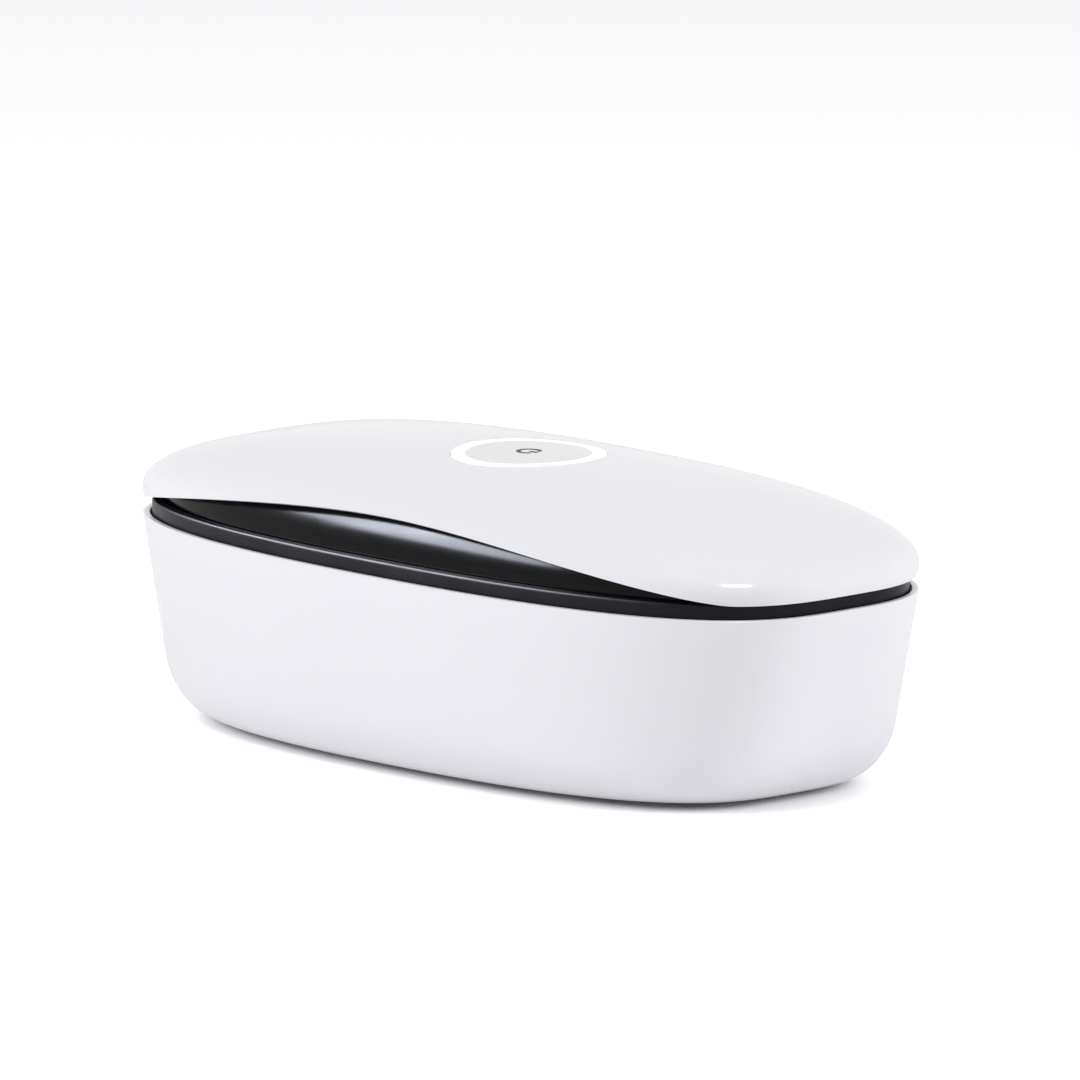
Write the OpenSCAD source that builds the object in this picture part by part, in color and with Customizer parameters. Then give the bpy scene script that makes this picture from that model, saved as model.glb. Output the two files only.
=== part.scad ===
// Pacifier sterilizer case: an oval white tub with a domed white lid that is hinged at the back.
// The lid's lower edge rises in a long arch at the front, where a glossy black inner frame shows.
// Millimetres, Z up. X is the long axis and the front faces -Y. The origin is on the table, under the middle.

/* [Overall] */
// Length over the tub's ends
case_l = 230; // [200:1:260]
// Depth from front to back
case_w = 110; // [100:1:130]
// Height of the closed case from the table to the lid's top
case_h = 75; // [70:1:90]
// Fullness of the oval along its length, where 2 is an ellipse
end_power = 2.45; // [2.2:0.05:3]
// Fullness of the oval across its depth, where 2 is an ellipse
side_power = 3.2; // [2.6:0.1:4]

/* [Tub] */
// Height of the tub's rim over the table
tub_h = 50.4; // [46:0.2:56]
// Wall of the tub
tub_wall = 2.4; // [2:0.1:3]
// Amount that each end leans in on its way down
end_draft = 12.5; // [10:0.5:20]
// Amount that each long side leans in on its way down
side_draft = 0.5; // [0:0.5:3]
// Width of the rounding round the tub's foot
round_w = 9.5; // [8:1:14]
// Height of the rounding round the tub's foot
round_h = 14; // [10:1:16]
// Width of the tub's bottom flange, round its opening
bottom_flange = 2; // [2:0.5:4]
// Thin lip of the tub that shows round the black frame
lip = 1.7; // [1.4:0.1:2]
// Depth of the step in the rim that the black frame sits on
rim_step = 2; // [1.5:0.1:3]
// Width of the bead inside the rim that carries the frame
bead = 4.2; // [4:0.1:4.4]
// Clearance between pieces that are fitted together
fit_gap = 0.3; // [0.2:0.05:0.4]

/* [Black rim frame] */
// Height of the frame's top over the tub's rim
frame_rise = 3.8; // [3:0.1:4.5]
// Distance of the frame's outer face behind the tub's side
frame_in = 2.2; // [2.1:0.1:2.4]
// Width of the frame's top edge
frame_top_w = 2.2; // [1.8:0.1:2.6]
// Width of the frame's ledge that the lid's seal lands on
ledge_w = 3.6; // [3:0.1:4]
// Thickness of the ledge
ledge_t = 1.6; // [1.2:0.1:2]

/* [Inner tray] */
// Height of the tray's floor over the table
tray_floor = 21.5; // [20.5:0.5:24]
// Wall of the tray
tray_wall = 1.2; // [1:0.1:1.6]
// Distance of the tray's wall behind the tub's side
tray_in = 6.8; // [6.6:0.1:7.4]
// Radius between the tray's wall and its floor
tray_round = 10; // [6:1:12]

/* [Lid] */
// Gap between the tub's rim and the lid's lower edge
band_gap = 3.5; // [3.3:0.1:4.5]
// Height of the lid's widest line over its lower edge
belly = 2.8; // [2:0.1:4]
// Wall of the lid's cover
lid_wall = 2; // [1.8:0.1:2.4]
// Thickness of the cover's thin lower edge
edge_t = 1.1; // [1:0.1:1.2]
// Amount that the cover tucks in under its widest line
tuck = 0.6; // [0.3:0.1:0.8]
// Fullness of the dome in plan, where 2 is an ellipse
dome_plan_power = 2.3; // [2:0.1:2.8]
// Fullness of the dome in height, where 2 is an ellipse
dome_height_power = 2.1; // [1.9:0.1:2.5]
// Rise of the arch in the lid's front edge
arch_rise = 11; // [6:0.2:12]
// Length of the arch
arch_l = 212; // [180:2:224]

/* [Lid inner frame] */
// Distance of the black inner frame's skirt behind the case's side
skirt_in = 5; // [4.8:0.1:5.4]
// Wall of the inner frame
skirt_wall = 1.8; // [1.5:0.1:2]
// Amount that the inner frame's wall leans in on its way up
lean = 3; // [2:0.25:4]
// Height of the skirt's bottom over the tub's rim
skirt_lift = 0.5; // [0.4:0.1:0.9]
// Thickness of the seal under the skirt
seal_t = 0.6; // [0.5:0.05:0.7]
// Width of the inner frame's flange
flange_w = 4.2; // [3.5:0.1:5]
// Thickness of the flange
flange_t = 1.8; // [1.5:0.1:2.2]
// Thickness of the reflector panel
panel_t = 1.2; // [1:0.1:1.5]

/* [Button and light ring] */
// Radius of the hole in the lid's top
hole_r = 19.6; // [18:0.2:21]
// Width of the light ring
ring_w = 3.3; // [2.5:0.1:4.5]
// Radial gap round the ring and round the button
button_gap = 0.25; // [0.2:0.05:0.3]
// Press travel of the button
press = 0.35; // [0.2:0.05:0.5]

/* [Hinge] */
// Length of the hinge
hinge_l = 62; // [50:1:70]
// Length of the lid's knuckle in the middle
knuckle_l = 30; // [20:1:34]
// Radius of the hinge barrel
barrel_r = 2.5; // [2.3:0.1:2.6]
// Radius of the hinge pin
pin_r = 1.2; // [1:0.05:1.3]
// Running clearance round the pin in the lid's knuckle
pin_run = 0.05; // [0.03:0.01:0.08]

/* [Ultraviolet lamps] */
// Number of lamps
lamp_n = 10; // [6:1:12]
// Spacing of the lamps
lamp_pitch = 14; // [10:0.5:14]
// Length of the lamp board
lamp_board_l = 166; // [160:1:172]
// Width of the lamp board
lamp_board_w = 16; // [14:0.5:18]
// Length of the quartz window
window_l = 144; // [140:1:148]
// Width of the quartz window
window_w = 18; // [16:0.5:20]

/* [Bottom] */
// Height of the feet under the tub
foot_h = 1.5; // [1:0.1:2]
// Radius of a foot
foot_r = 6; // [4:0.5:7]
// Distance of the feet from the middle, along the case
foot_x = 56; // [45:1:60]
// Distance of the feet from the middle, across the case
foot_y = 21; // [15:1:23]
// Distance of the bottom screws from the middle, along the case
screw_x = 70; // [66:1:71]
// Distance of the bottom screws from the middle, across the case
screw_y = 8; // [5:1:12]

/* [Electronics] */
// Length of the battery
battery_l = 84; // [60:1:90]
// Width of the battery
battery_w = 38; // [30:1:40]
// Thickness of the battery
battery_t = 8; // [6:0.5:9]
// Length of the main board
board_l = 64; // [50:1:70]
// Width of the main board
board_w = 34; // [26:1:36]
// Height of the main board's underside over the table
board_z = 12; // [11:0.5:13]
// Thickness of every circuit board
board_t = 1.6; // [1:0.2:1.6]

/* [Hidden] */
$fn = 48;

// Columns round the oval, shared by every oval piece so that their facets lie parallel
columns = 80;
// Evens out the spacing of the columns between the ends and the sides
column_shift = 5.7;
// Columns round the button and the light ring
crown_columns = 48;

// Heights of the lid
lid_edge_z = tub_h + band_gap;
belly_z = lid_edge_z + belly;
dome_h = case_h - belly_z;
// Turn of the cover's profile that is spent below its widest line
tuck_turn = 20;
// Shape of the arch near its ends
arch_power = 1.05;

// Heights and insets of the rim
seat_z = tub_h - rim_step;
ledge_z = seat_z + ledge_t;
frame_top_z = tub_h + frame_rise;
ledge_in = frame_in + frame_top_w + ledge_w;
bead_h = 3;

// Heights of the lid's inner parts
skirt_z = tub_h + skirt_lift;
panel_z = skirt_z;
flange_z = panel_z + panel_t;
flange_top_z = flange_z + flange_t;
wall_z = frame_top_z - 0.2;
panel_in = skirt_in + skirt_wall + fit_gap;
// Clearance between the inner frame's top and the cover
cover_gap = 0.6;
lean_power = 2.2;

// Hinge place: the barrel's back is level with the back of the case
hinge_y = case_w / 2 - barrel_r - 0.1;
hinge_z = lid_edge_z - 0.7;
notch_half = hinge_l / 2 + 0.5;
notch_z = tub_h - 4.7;
notch_y = hinge_y - barrel_r - 1.9;
notch_top_z = hinge_z + barrel_r + 2;
block_gap = 0.2;
tongue_half = 20;
tongue_t = 1.3;
tongue_h = 8;
tongue_y = hinge_y - 0.5;
hinge_screw_x = 14;
hinge_screw_r = 0.9;
hinge_screw_l = 2.9;
leaf_t = 1.5;
leaf_front = case_w / 2 - skirt_in - skirt_wall - flange_w + 0.4;
leaf_screw_x = 9;
leaf_screw_y = leaf_front + 2;
small_screw_r = 0.75;
small_head_r = 1.8;
small_head_h = 1.2;

// Lid screws and the bosses that they go into
lid_boss_x = 62;
lid_boss_y = 26;
lid_boss_r = 3;
lid_boss_top = 4.6;
screw_r = 1.25;
screw_head_r = 2.5;
screw_head_h = 1.2;

// Lamp parts, counted up from the panel
lamp_size = 3.5;
lamp_h = 1.2;
window_t = 1;
lamp_board_z = flange_z + window_t + 1.6;
lamp_post_x = lamp_board_l / 2 - 5;

// Button parts, counted down from the lid's top
ring_r = hole_r - button_gap;
ring_in_r = ring_r - ring_w;
cap_r = ring_in_r - button_gap;
ring_base_z = case_h - 4.6;
cap_base_z = ring_base_z - 1.4;
cap_skin_z = case_h - 3.5;
switch_h = 3.5;
// The plunger stands out of its switch by the press travel and a reserve
plunger_h = press + 0.85;
plunger_r = 1.7;
stem_r = 2.5;
plunger_top_z = cap_skin_z - 1.2;
button_board_z = plunger_top_z - plunger_h - switch_h - board_t;
button_board_r = hole_r + 0.4;
board_post_r = 2.4;
button_post = window_w / 2 + board_post_r + fit_gap;
ring_lamp_n = 12;

// Bottom parts
flange_floor = foot_h + tub_wall;
cover_step_t = 1.6;
cover_step_in = 0.5;
cover_top_z = flange_floor + cover_step_t;
foot_sink = 0.7;
chassis_t = 2;
tray_under_z = tray_floor - tray_wall;
chassis_z = tray_under_z - chassis_t;
chassis_post_r = 3.2;
battery_y = -16;
// Gap between the main board and the tub's back wall
board_gap = 1.6;
board_y = half_w(board_z) - tub_wall - board_gap - board_w / 2;
// The standoffs stand towards the front, on the bottom cover
standoff_y = board_y - 3;
board_hole_x = board_l / 2 - 4;
board_hole_y = board_w / 2 - 7;
standoff_r = 2.6;

// Charging socket
usb_w = 9;
usb_h = 3.2;
usb_l = 7.4;
usb_out = 1.4;
usb_wall = 0.35;
usb_depth = 1.2;
usb_z = board_z + board_t + usb_h / 2;
// Room round the charging plug in the tub's wall
plug_gap = 0.9;

// Catch
magnet_l = 16;
magnet_t = 2;
magnet_h = 6;
sensor_x = magnet_l / 2 + 6;
sensor_h = 9;
// Length of the chassis slot that the sensor's lead passes
slot_l = 8;
lead_r = 0.7;
lead_step = 1.2;

// Signed power, for the four quarters of the oval
function spow(v, e) = sign(v) * pow(abs(v), e);

// Angle of a column round the oval
function turn(i) = 360 * i / columns - column_shift * sin(4 * 360 * i / columns);

// Point of the unit oval at a column
function unit(i) = [spow(cos(turn(i)), 2 / end_power), spow(sin(turn(i)), 2 / side_power)];

// Share of the way from the rim down to the foot, and the rounding there
function down(z) = max(0, (tub_h - z) / (tub_h - foot_h));
function curl(z) = z >= foot_h + round_h ? 0
    : round_w * (1 - sqrt(max(0, 1 - pow((foot_h + round_h - z) / round_h, 2))));

// Half length and half depth of the tub at a height
function half_l(z) = case_l / 2 - end_draft * down(z) - curl(z);
function half_w(z) = case_w / 2 - side_draft * down(z) - curl(z);

// Ring of points, inset from the tub's outline at height from_z and laid at height z
function ring(from_z, inset, z) = [for (i = [0 : columns - 1])
    [(half_l(from_z) - inset) * unit(i)[0], (half_w(from_z) - inset) * unit(i)[1], z]];

// Scale at which the oval of the given half sizes passes through a point
function oval_share(x, y, a, b, s = 1, n = 8) = n == 0 ? s
    : oval_share(x, y, a, b, s * pow(pow(abs(x) / (a * s), end_power)
        + pow(abs(y) / (b * s), side_power), 2 / (end_power + side_power)), n - 1);

// Height of the dome over a point, on the outer skin or on one that lies a wall deeper
function dome_z(x, y, wall = 0) = belly_z + (dome_h - wall) * pow(max(0,
    1 - pow(oval_share(x, y, case_l / 2 - wall, case_w / 2 - wall), dome_plan_power)), 1 / dome_height_power);

// Height of the lid's lower edge at a column, with the arch at the front
function arch_at(x) = abs(x) >= arch_l / 2 ? 0 : arch_rise * pow(1 - pow(2 * x / arch_l, 2), arch_power);
function edge_z(i) = lid_edge_z + (unit(i)[1] < 0 ? arch_at(case_l / 2 * unit(i)[0]) : 0);

// Turn along the cover's profile at which it reaches its lower edge
function edge_turn(i) = edge_z(i) >= belly_z
    ? acos(pow((edge_z(i) - belly_z) / dome_h, dome_height_power / 2))
    : 90 + tuck_turn * (belly_z - edge_z(i)) / belly;

// Point of the cover's profile: over the widest line it is the dome, and under it the tuck
function cover_point(i, f, wall) = let (
    k = max(0, (f - 90) / tuck_turn),
    r = pow(sin(min(f, 90)), 2 / dome_plan_power),
    inset = wall + tuck * k * k,
    x = (case_l / 2 - inset) * r * unit(i)[0],
    y = (case_w / 2 - inset) * r * unit(i)[1],
    up = pow(cos(min(f, 90)), 2 / dome_height_power)
) [x, y, belly_z + (dome_h - wall) * up - belly * k];

// Point between the round hole and the first full ring, kept on the dome
function crown_point(i, share, f, wall) = let (
    c = hole_r * [cos(360 * i / columns), sin(360 * i / columns)],
    p = cover_point(i, f, wall),
    x = c[0] + share * (p[0] - c[0]),
    y = c[1] + share * (p[1] - c[1])
) [x, y, dome_z(x, y, wall)];

function crown_ring(share, wall) = [for (i = [0 : columns - 1])
    crown_point(i, share, 0.45 * edge_turn(i), wall)];
function cover_ring(share, wall) = [for (i = [0 : columns - 1]) cover_point(i, share * edge_turn(i), wall)];

// Ring of the black inner frame's wall, a share of the way up to the cover
function frame_ring(share, wall) = [for (i = [0 : columns - 1]) let (
    top_in = skirt_in + lean,
    top = dome_z((case_l / 2 - top_in) * unit(i)[0], (case_w / 2 - top_in) * unit(i)[1], lid_wall) - cover_gap,
    inset = skirt_in + wall + lean * pow(share, lean_power)
) [(case_l / 2 - inset) * unit(i)[0], (case_w / 2 - inset) * unit(i)[1], wall_z + share * (top - wall_z)]];

// Closed skin over a list of rings. A looped skin joins its last ring to its first.
module skin(rings, looped = true) {
    n = len(rings);
    m = len(rings[0]);
    polyhedron(
        points = [for (r = rings) each r],
        faces = concat(
            [for (j = [0 : n - (looped ? 1 : 2)]) for (i = [0 : m - 1]) let (
                a = j * m + i,
                b = j * m + (i + 1) % m,
                c = ((j + 1) % n) * m + (i + 1) % m,
                d = ((j + 1) % n) * m + i
            ) each [[a, b, c], [a, c, d]]],
            looped ? [] : [[for (i = [m - 1 : -1 : 0]) i], [for (i = [0 : m - 1]) (n - 1) * m + i]]
        )
    );
}

// Flat oval, inset from the tub's outline at a height
module oval(inset, from_z = tub_h) {
    polygon([for (p = ring(from_z, inset, 0)) [p[0], p[1]]]);
}

module oval_plate(inset, z0, z1, from_z = tub_h) {
    translate([0, 0, z0])
        linear_extrude(z1 - z0)
            oval(inset, from_z);
}

module oval_band(out_in, in_in, z0, z1) {
    translate([0, 0, z0])
        linear_extrude(z1 - z0)
            difference() {
                oval(out_in);
                oval(in_in);
            }
}

// Box by its middle in X and Y, and its bottom
module block(x, y, z, size) {
    translate([x - size[0] / 2, y - size[1] / 2, z])
        cube(size);
}

// Flat shape with round ends, for the charging socket and its cut-out
module slot(w, h) {
    square([w - h, h], center = true);
    for (sx = [-1, 1])
        translate([sx * (w - h) / 2, 0])
            circle(d = h);
}

// Post or hole that stands at a place
module post(x, y, z0, z1, r) {
    translate([x, y, z0])
        cylinder(h = z1 - z0, r = r);
}

// The four places of a rectangular pattern
module corners(x, y) {
    for (sx = [-1, 1])
        for (sy = [-1, 1])
            translate([sx * x, sy * y, 0])
                children();
}

// Screw that stands head down, with a slot-free round head and a plain shank
module screw(z, length, head_r = screw_head_r, r = screw_r) {
    translate([0, 0, z - screw_head_h])
        cylinder(h = screw_head_h, r = head_r);
    translate([0, 0, z])
        cylinder(h = length, r = r);
}

// Direction of a wire at one of its points
function heading(p, i) = let (d = p[min(i + 1, len(p) - 1)] - p[max(i - 1, 0)]) d / norm(d);

// Wire swept through a list of points. Its sides are laid out from one fixed direction, so it never twists.
module wire(points, r) {
    sides = 8;
    fixed = [0.9, 0.3, 0.2];
    skin([for (i = [0 : len(points) - 1]) let (
        t = heading(points, i),
        u = cross(t, fixed) / norm(cross(t, fixed)),
        v = cross(u, t)
    ) [for (k = [0 : sides - 1]) points[i] + r * (cos(360 * k / sides) * u + sin(360 * k / sides) * v)]],
        looped = false);
}

// Space that the hinge needs at the back, cut out of the case's walls
module hinge_notch(z0, z1, y0) {
    translate([-notch_half, y0, z0])
        cube([2 * notch_half, case_w, z1 - z0]);
}

// Base: bottom

module bottom_cover() {
    color("whitesmoke")
        difference() {
            union() {
                oval_plate(bottom_flange + fit_gap, foot_h, flange_floor, foot_h);
                oval_plate(cover_step_in, flange_floor, cover_top_z, foot_h);
                translate([0, standoff_y, 0])
                    corners(board_hole_x, board_hole_y)
                        post(0, 0, cover_top_z - 0.5, board_z, standoff_r);
            }
            corners(foot_x, foot_y)
                post(0, 0, foot_h - 1, foot_h + foot_sink, foot_r + fit_gap);
            corners(screw_x, screw_y) {
                post(0, 0, foot_h - 1, foot_h + screw_head_h + 0.6, screw_head_r + fit_gap);
                post(0, 0, foot_h, cover_top_z + 1, screw_r + fit_gap);
            }
            translate([0, standoff_y, 0])
                corners(board_hole_x, board_hole_y)
                    post(0, 0, cover_top_z, board_z + 1, small_screw_r + 0.05);
        }
}

module foot(sx, sy) {
    color("dimgray")
        translate([sx * foot_x, sy * foot_y, 0])
            rotate_extrude()
                polygon([
                    [0, 0], [foot_r - 0.6, 0], [foot_r, 0.6],
                    [foot_r, foot_h + foot_sink], [0, foot_h + foot_sink]
                ]);
}

module foot_front_left() foot(-1, -1);
module foot_front_right() foot(1, -1);
module foot_rear_left() foot(-1, 1);
module foot_rear_right() foot(1, 1);

module bottom_screws() {
    color("silver")
        corners(screw_x, screw_y)
            screw(foot_h + screw_head_h + 0.6, chassis_z - foot_h - 4);
}

// Inner plate that carries the tray and that the bottom cover is screwed to
module chassis() {
    color("gainsboro")
        difference() {
            union() {
                oval_plate(4, chassis_z, tray_under_z, chassis_z);
                corners(screw_x, screw_y)
                    post(0, 0, cover_top_z, chassis_z + 0.5, chassis_post_r);
            }
            corners(screw_x, screw_y)
                post(0, 0, cover_top_z - 1, chassis_z - 1, screw_r);
            // Slot for the sensor's lead
            block(sensor_x, -half_w(chassis_z), chassis_z - 1, [4, 2 * slot_l, chassis_t + 2]);
            // Opening over the main board's tall parts
            block(0, standoff_y, chassis_z - 1, [board_l - 20, board_w - 14, chassis_t + 2]);
        }
}

// Tub: a tapered oval shell, open at the top and, for the bottom cover, at the bottom
module tub_shell() {
    bend = [for (q = [0 : 5]) foot_h + round_h * (1 - sin(18 * q))];
    outer = concat([ring(tub_h, 0, tub_h)], [for (z = bend) ring(z, 0, z)],
        [ring(foot_h, bottom_flange, foot_h)]);
    inner = concat([ring(foot_h, bottom_flange, flange_floor), ring(bend[4], tub_wall * cos(36), flange_floor)],
        [for (q = [3 : -1 : 1]) ring(bend[q], tub_wall * cos(9 * q), bend[q] + tub_wall * sin(14 * q))],
        [ring(bend[0], tub_wall, bend[0])],
        [for (s = [[tub_wall, seat_z - bead_h - 1.8], [bead, seat_z - bead_h], [bead, seat_z],
            [lip, seat_z], [lip, tub_h]]) ring(s[1], s[0], s[1])]);
    color("white")
        difference() {
            skin(concat(outer, inner));
            hinge_notch(notch_z, tub_h + 1, notch_y);
            translate([-tongue_half - 0.5, notch_y, notch_z - tongue_h + 1])
                cube([2 * tongue_half + 1, tongue_y + fit_gap - notch_y, tongue_h]);
            // Cut-out for the charging plug
            translate([0, half_w(board_z) - 5, usb_z])
                rotate([-90, 0, 0])
                    linear_extrude(12)
                        slot(usb_w + 2 * plug_gap, usb_h + 2 * plug_gap);
            for (sx = [-1, 1])
                translate([sx * hinge_screw_x, tongue_y - 1, notch_z - tongue_h / 2])
                    rotate([-90, 0, 0])
                        cylinder(h = hinge_screw_l, r = hinge_screw_r + 0.05);
        }
}

// Base: power and control

module battery() {
    r = battery_t / 4;
    color("lightsteelblue")
        translate([-battery_l / 2, battery_y, cover_top_z])
            rotate([90, 0, 90])
                linear_extrude(battery_l)
                    union() {
                        translate([-battery_w / 2 + r, 0])
                            square([battery_w - 2 * r, battery_t]);
                        translate([-battery_w / 2, r])
                            square([battery_w, battery_t - 2 * r]);
                        for (sx = [-1, 1])
                            for (z = [r, battery_t - r])
                                translate([sx * (battery_w / 2 - r), z])
                                    circle(r = r);
                    }
}

// Two straps that hold the battery down
module battery_clips() {
    color("gainsboro")
        for (sx = [-1, 1])
            translate([sx * battery_l / 4, battery_y, cover_top_z])
                difference() {
                    block(0, 0, 0, [8, battery_w + 8, battery_t + 1.6]);
                    block(0, 0, -1, [10, battery_w + 2 * fit_gap, battery_t + 1 + fit_gap]);
                    corners(20, battery_w / 2 + 2.4)
                        block(0, 0, 2, [60, 3, battery_t]);
                }
}

module battery_lead() {
    color("crimson")
        for (s = [-1, 1])
            wire([
                [battery_l / 2 + 0.2, battery_y + s * 2, cover_top_z + 4],
                [battery_l / 2 + 4, battery_y + 2 + s * 2, cover_top_z + 5],
                [battery_l / 2 + 7 - s * 2, battery_y + 10, cover_top_z + 7],
                [battery_l / 2 + 5 - s * 2, board_y - 18 - s * 2, board_z + board_t + 1],
                [battery_l / 2 + 1, board_y - 13 - s * 2, board_z + board_t + 1.4],
                [board_l / 2 - 1.2, board_y - 12 - s * 2, board_z + board_t + 0.8]
            ], lead_r);
}

module main_board() {
    color("seagreen")
        difference() {
            block(0, board_y, board_z, [board_l, board_w, board_t]);
            translate([0, standoff_y, 0])
                corners(board_hole_x, board_hole_y)
                    post(0, 0, board_z - 1, board_z + board_t + 1, 1.1);
        }
}

module board_chips() {
    top = board_z + board_t;
    color("darkslategray") {
        block(-16, board_y + 2, top, [9, 9, 1.4]);
        block(16, board_y + 2, top, [5, 6, 1.4]);
        block(-16, board_y - 9, top, [6, 5, 1.2]);
        post(4, board_y - 6, top, top + 3.4, 3.5);
        post(15, board_y - 6, top, top + 3.8, 2);
        for (x = [-6 : 3 : -3])
            block(x, board_y + 4, top, [1.6, 0.9, 0.6]);
    }
}

module board_screws() {
    color("silver")
        translate([0, standoff_y, 0])
            corners(board_hole_x, board_hole_y) {
                post(0, 0, board_z + board_t, board_z + board_t + small_head_h, small_head_r);
                post(0, 0, board_z - 4, board_z + board_t, small_screw_r);
            }
}

// Charging socket: a steel shell round a plastic tongue, at the back edge of the main board
module usb_socket() {
    back = half_w(board_z) - usb_out;
    color("silver")
        translate([0, back - usb_l, usb_z])
            rotate([-90, 0, 0])
                difference() {
                    linear_extrude(usb_l)
                        slot(usb_w, usb_h);
                    difference() {
                        translate([0, 0, usb_depth])
                            linear_extrude(usb_l)
                                slot(usb_w - 2 * usb_wall, usb_h - 2 * usb_wall);
                        block(0, 0, 0, [usb_w - usb_h, 2 * usb_wall, usb_l - usb_depth]);
                    }
                }
}

// Base: chamber and rim

// Plated tray that holds the pacifiers
module liner_tray() {
    bend = [for (q = [0 : 4]) 22.5 * q];
    inner = concat(
        [for (q = [4 : -1 : 0]) ring(tray_floor + tray_round, tray_in + tray_wall + tray_round * (1 - cos(bend[q])),
            tray_floor + tray_round * (1 - sin(bend[q])))],
        [ring(seat_z, tray_in + tray_wall, seat_z)]);
    out_r = tray_round + tray_wall;
    outer = concat(
        [ring(seat_z, bead + fit_gap, seat_z), ring(seat_z, bead + fit_gap, seat_z - tray_wall),
            ring(seat_z, tray_in, seat_z - tray_wall)],
        [for (q = [0 : 4]) ring(tray_floor + tray_round, tray_in + out_r * (1 - cos(bend[q])),
            tray_floor + tray_round - out_r * sin(bend[q]))]);
    color("lightgray")
        skin(concat(inner, outer), looped = false);
}

module rim_frame() {
    color("black")
        difference() {
            union() {
                oval_band(frame_in, frame_in + frame_top_w, seat_z, frame_top_z);
                oval_band(frame_in + frame_top_w - 0.5, ledge_in, seat_z, ledge_z);
            }
            hinge_notch(seat_z - 1, frame_top_z + 1, notch_y);
        }
}

// Magnet that holds the closed lid, glued to the tray under the front ledge
module base_magnet() {
    color("slategray")
        block(0, -(case_w / 2 - tray_in + fit_gap + magnet_t / 2), seat_z - tray_wall - fit_gap - magnet_h,
            [magnet_l, magnet_t, magnet_h]);
}

// Small board with the sensor that puts the lamps out when the lid opens
module lid_sensor() {
    y = -(case_w / 2 - tray_in + fit_gap + 0.7);
    color("darkgreen") {
        block(sensor_x, y, seat_z - tray_wall - fit_gap - sensor_h, [8, 1, sensor_h]);
        block(sensor_x, y - 0.9, seat_z - tray_wall - fit_gap - 3.4, [3, 0.8, 3]);
    }
}

module sensor_lead() {
    x = sensor_x;
    y = -(case_w / 2 - tray_in + fit_gap + 0.7);
    z = seat_z - tray_wall - fit_gap - sensor_h;
    color("khaki")
        wire([
            [x, y, z], [x, y + 0.3, tray_under_z + 4], [x, y + 0.9, chassis_z], [x + 5, y + 6, chassis_z - 1.4],
            [x + 26, y + 11, chassis_z - 1.4], [x + 30, board_y - 8, board_z + board_t + 3.2],
            [board_l / 2 - 8, board_y - 4, board_z + board_t + 0.8]
        ], lead_r);
}

// Hinge

// Bracket in the tub's back: a block in the rim, two outer knuckles and a tongue behind the wall
module hinge_base() {
    back = case_w / 2 - 0.5;
    front = tongue_y - 1.1;
    color("dimgray")
        difference() {
            union() {
                translate([-hinge_l / 2, front, notch_z + block_gap])
                    cube([hinge_l, back - front, tub_h - block_gap - notch_z - block_gap]);
                translate([-tongue_half, tongue_y - tongue_t, notch_z - tongue_h + 1.5])
                    cube([2 * tongue_half, tongue_t, tongue_h]);
                for (sx = [-1, 1]) {
                    x0 = sx > 0 ? knuckle_l / 2 + fit_gap : -hinge_l / 2;
                    w = (hinge_l - knuckle_l) / 2 - fit_gap;
                    translate([x0, front, tub_h - 1])
                        cube([w, back - front, hinge_z - tub_h + 1]);
                    translate([x0, hinge_y, hinge_z])
                        rotate([0, 90, 0])
                            cylinder(h = w, r = barrel_r);
                }
            }
            translate([-hinge_l, hinge_y, hinge_z])
                rotate([0, 90, 0])
                    cylinder(h = 2 * hinge_l, r = pin_r + 0.02);
            for (sx = [-1, 1])
                translate([sx * hinge_screw_x, tongue_y - 5, notch_z - tongue_h / 2])
                    rotate([-90, 0, 0])
                        cylinder(h = 8, r = hinge_screw_r + 0.15);
        }
}

module hinge_screws() {
    color("silver")
        for (sx = [-1, 1])
            translate([sx * hinge_screw_x, tongue_y - tongue_t, notch_z - tongue_h / 2])
                rotate([-90, 0, 0])
                    screw(0, hinge_screw_l, small_head_r, hinge_screw_r);
}

module hinge_pin() {
    color("silver")
        translate([-hinge_l / 2 + 0.5, hinge_y, hinge_z])
            rotate([0, 90, 0])
                cylinder(h = hinge_l - 1, r = pin_r);
}

module lid_hinge() {
    color("dimgray")
        difference() {
            union() {
                translate([-knuckle_l / 2, leaf_front, flange_top_z])
                    cube([knuckle_l, hinge_y - leaf_front, leaf_t]);
                translate([-knuckle_l / 2, hinge_y, hinge_z])
                    rotate([0, 90, 0])
                        cylinder(h = knuckle_l, r = barrel_r);
            }
            translate([-hinge_l, hinge_y, hinge_z])
                rotate([0, 90, 0])
                    cylinder(h = 2 * hinge_l, r = pin_r + pin_run);
            for (sx = [-1, 1])
                post(sx * leaf_screw_x, leaf_screw_y, flange_top_z - 1, flange_top_z + leaf_t + 1, 1.1);
        }
}

module lid_hinge_screws() {
    color("silver")
        for (sx = [-1, 1]) {
            post(sx * leaf_screw_x, leaf_screw_y, flange_top_z + leaf_t, flange_top_z + leaf_t + small_head_h,
                small_head_r);
            post(sx * leaf_screw_x, leaf_screw_y, flange_z + 0.2, flange_top_z + leaf_t, 1);
        }
}

// Lid: black inner frame, seal and panel

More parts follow.
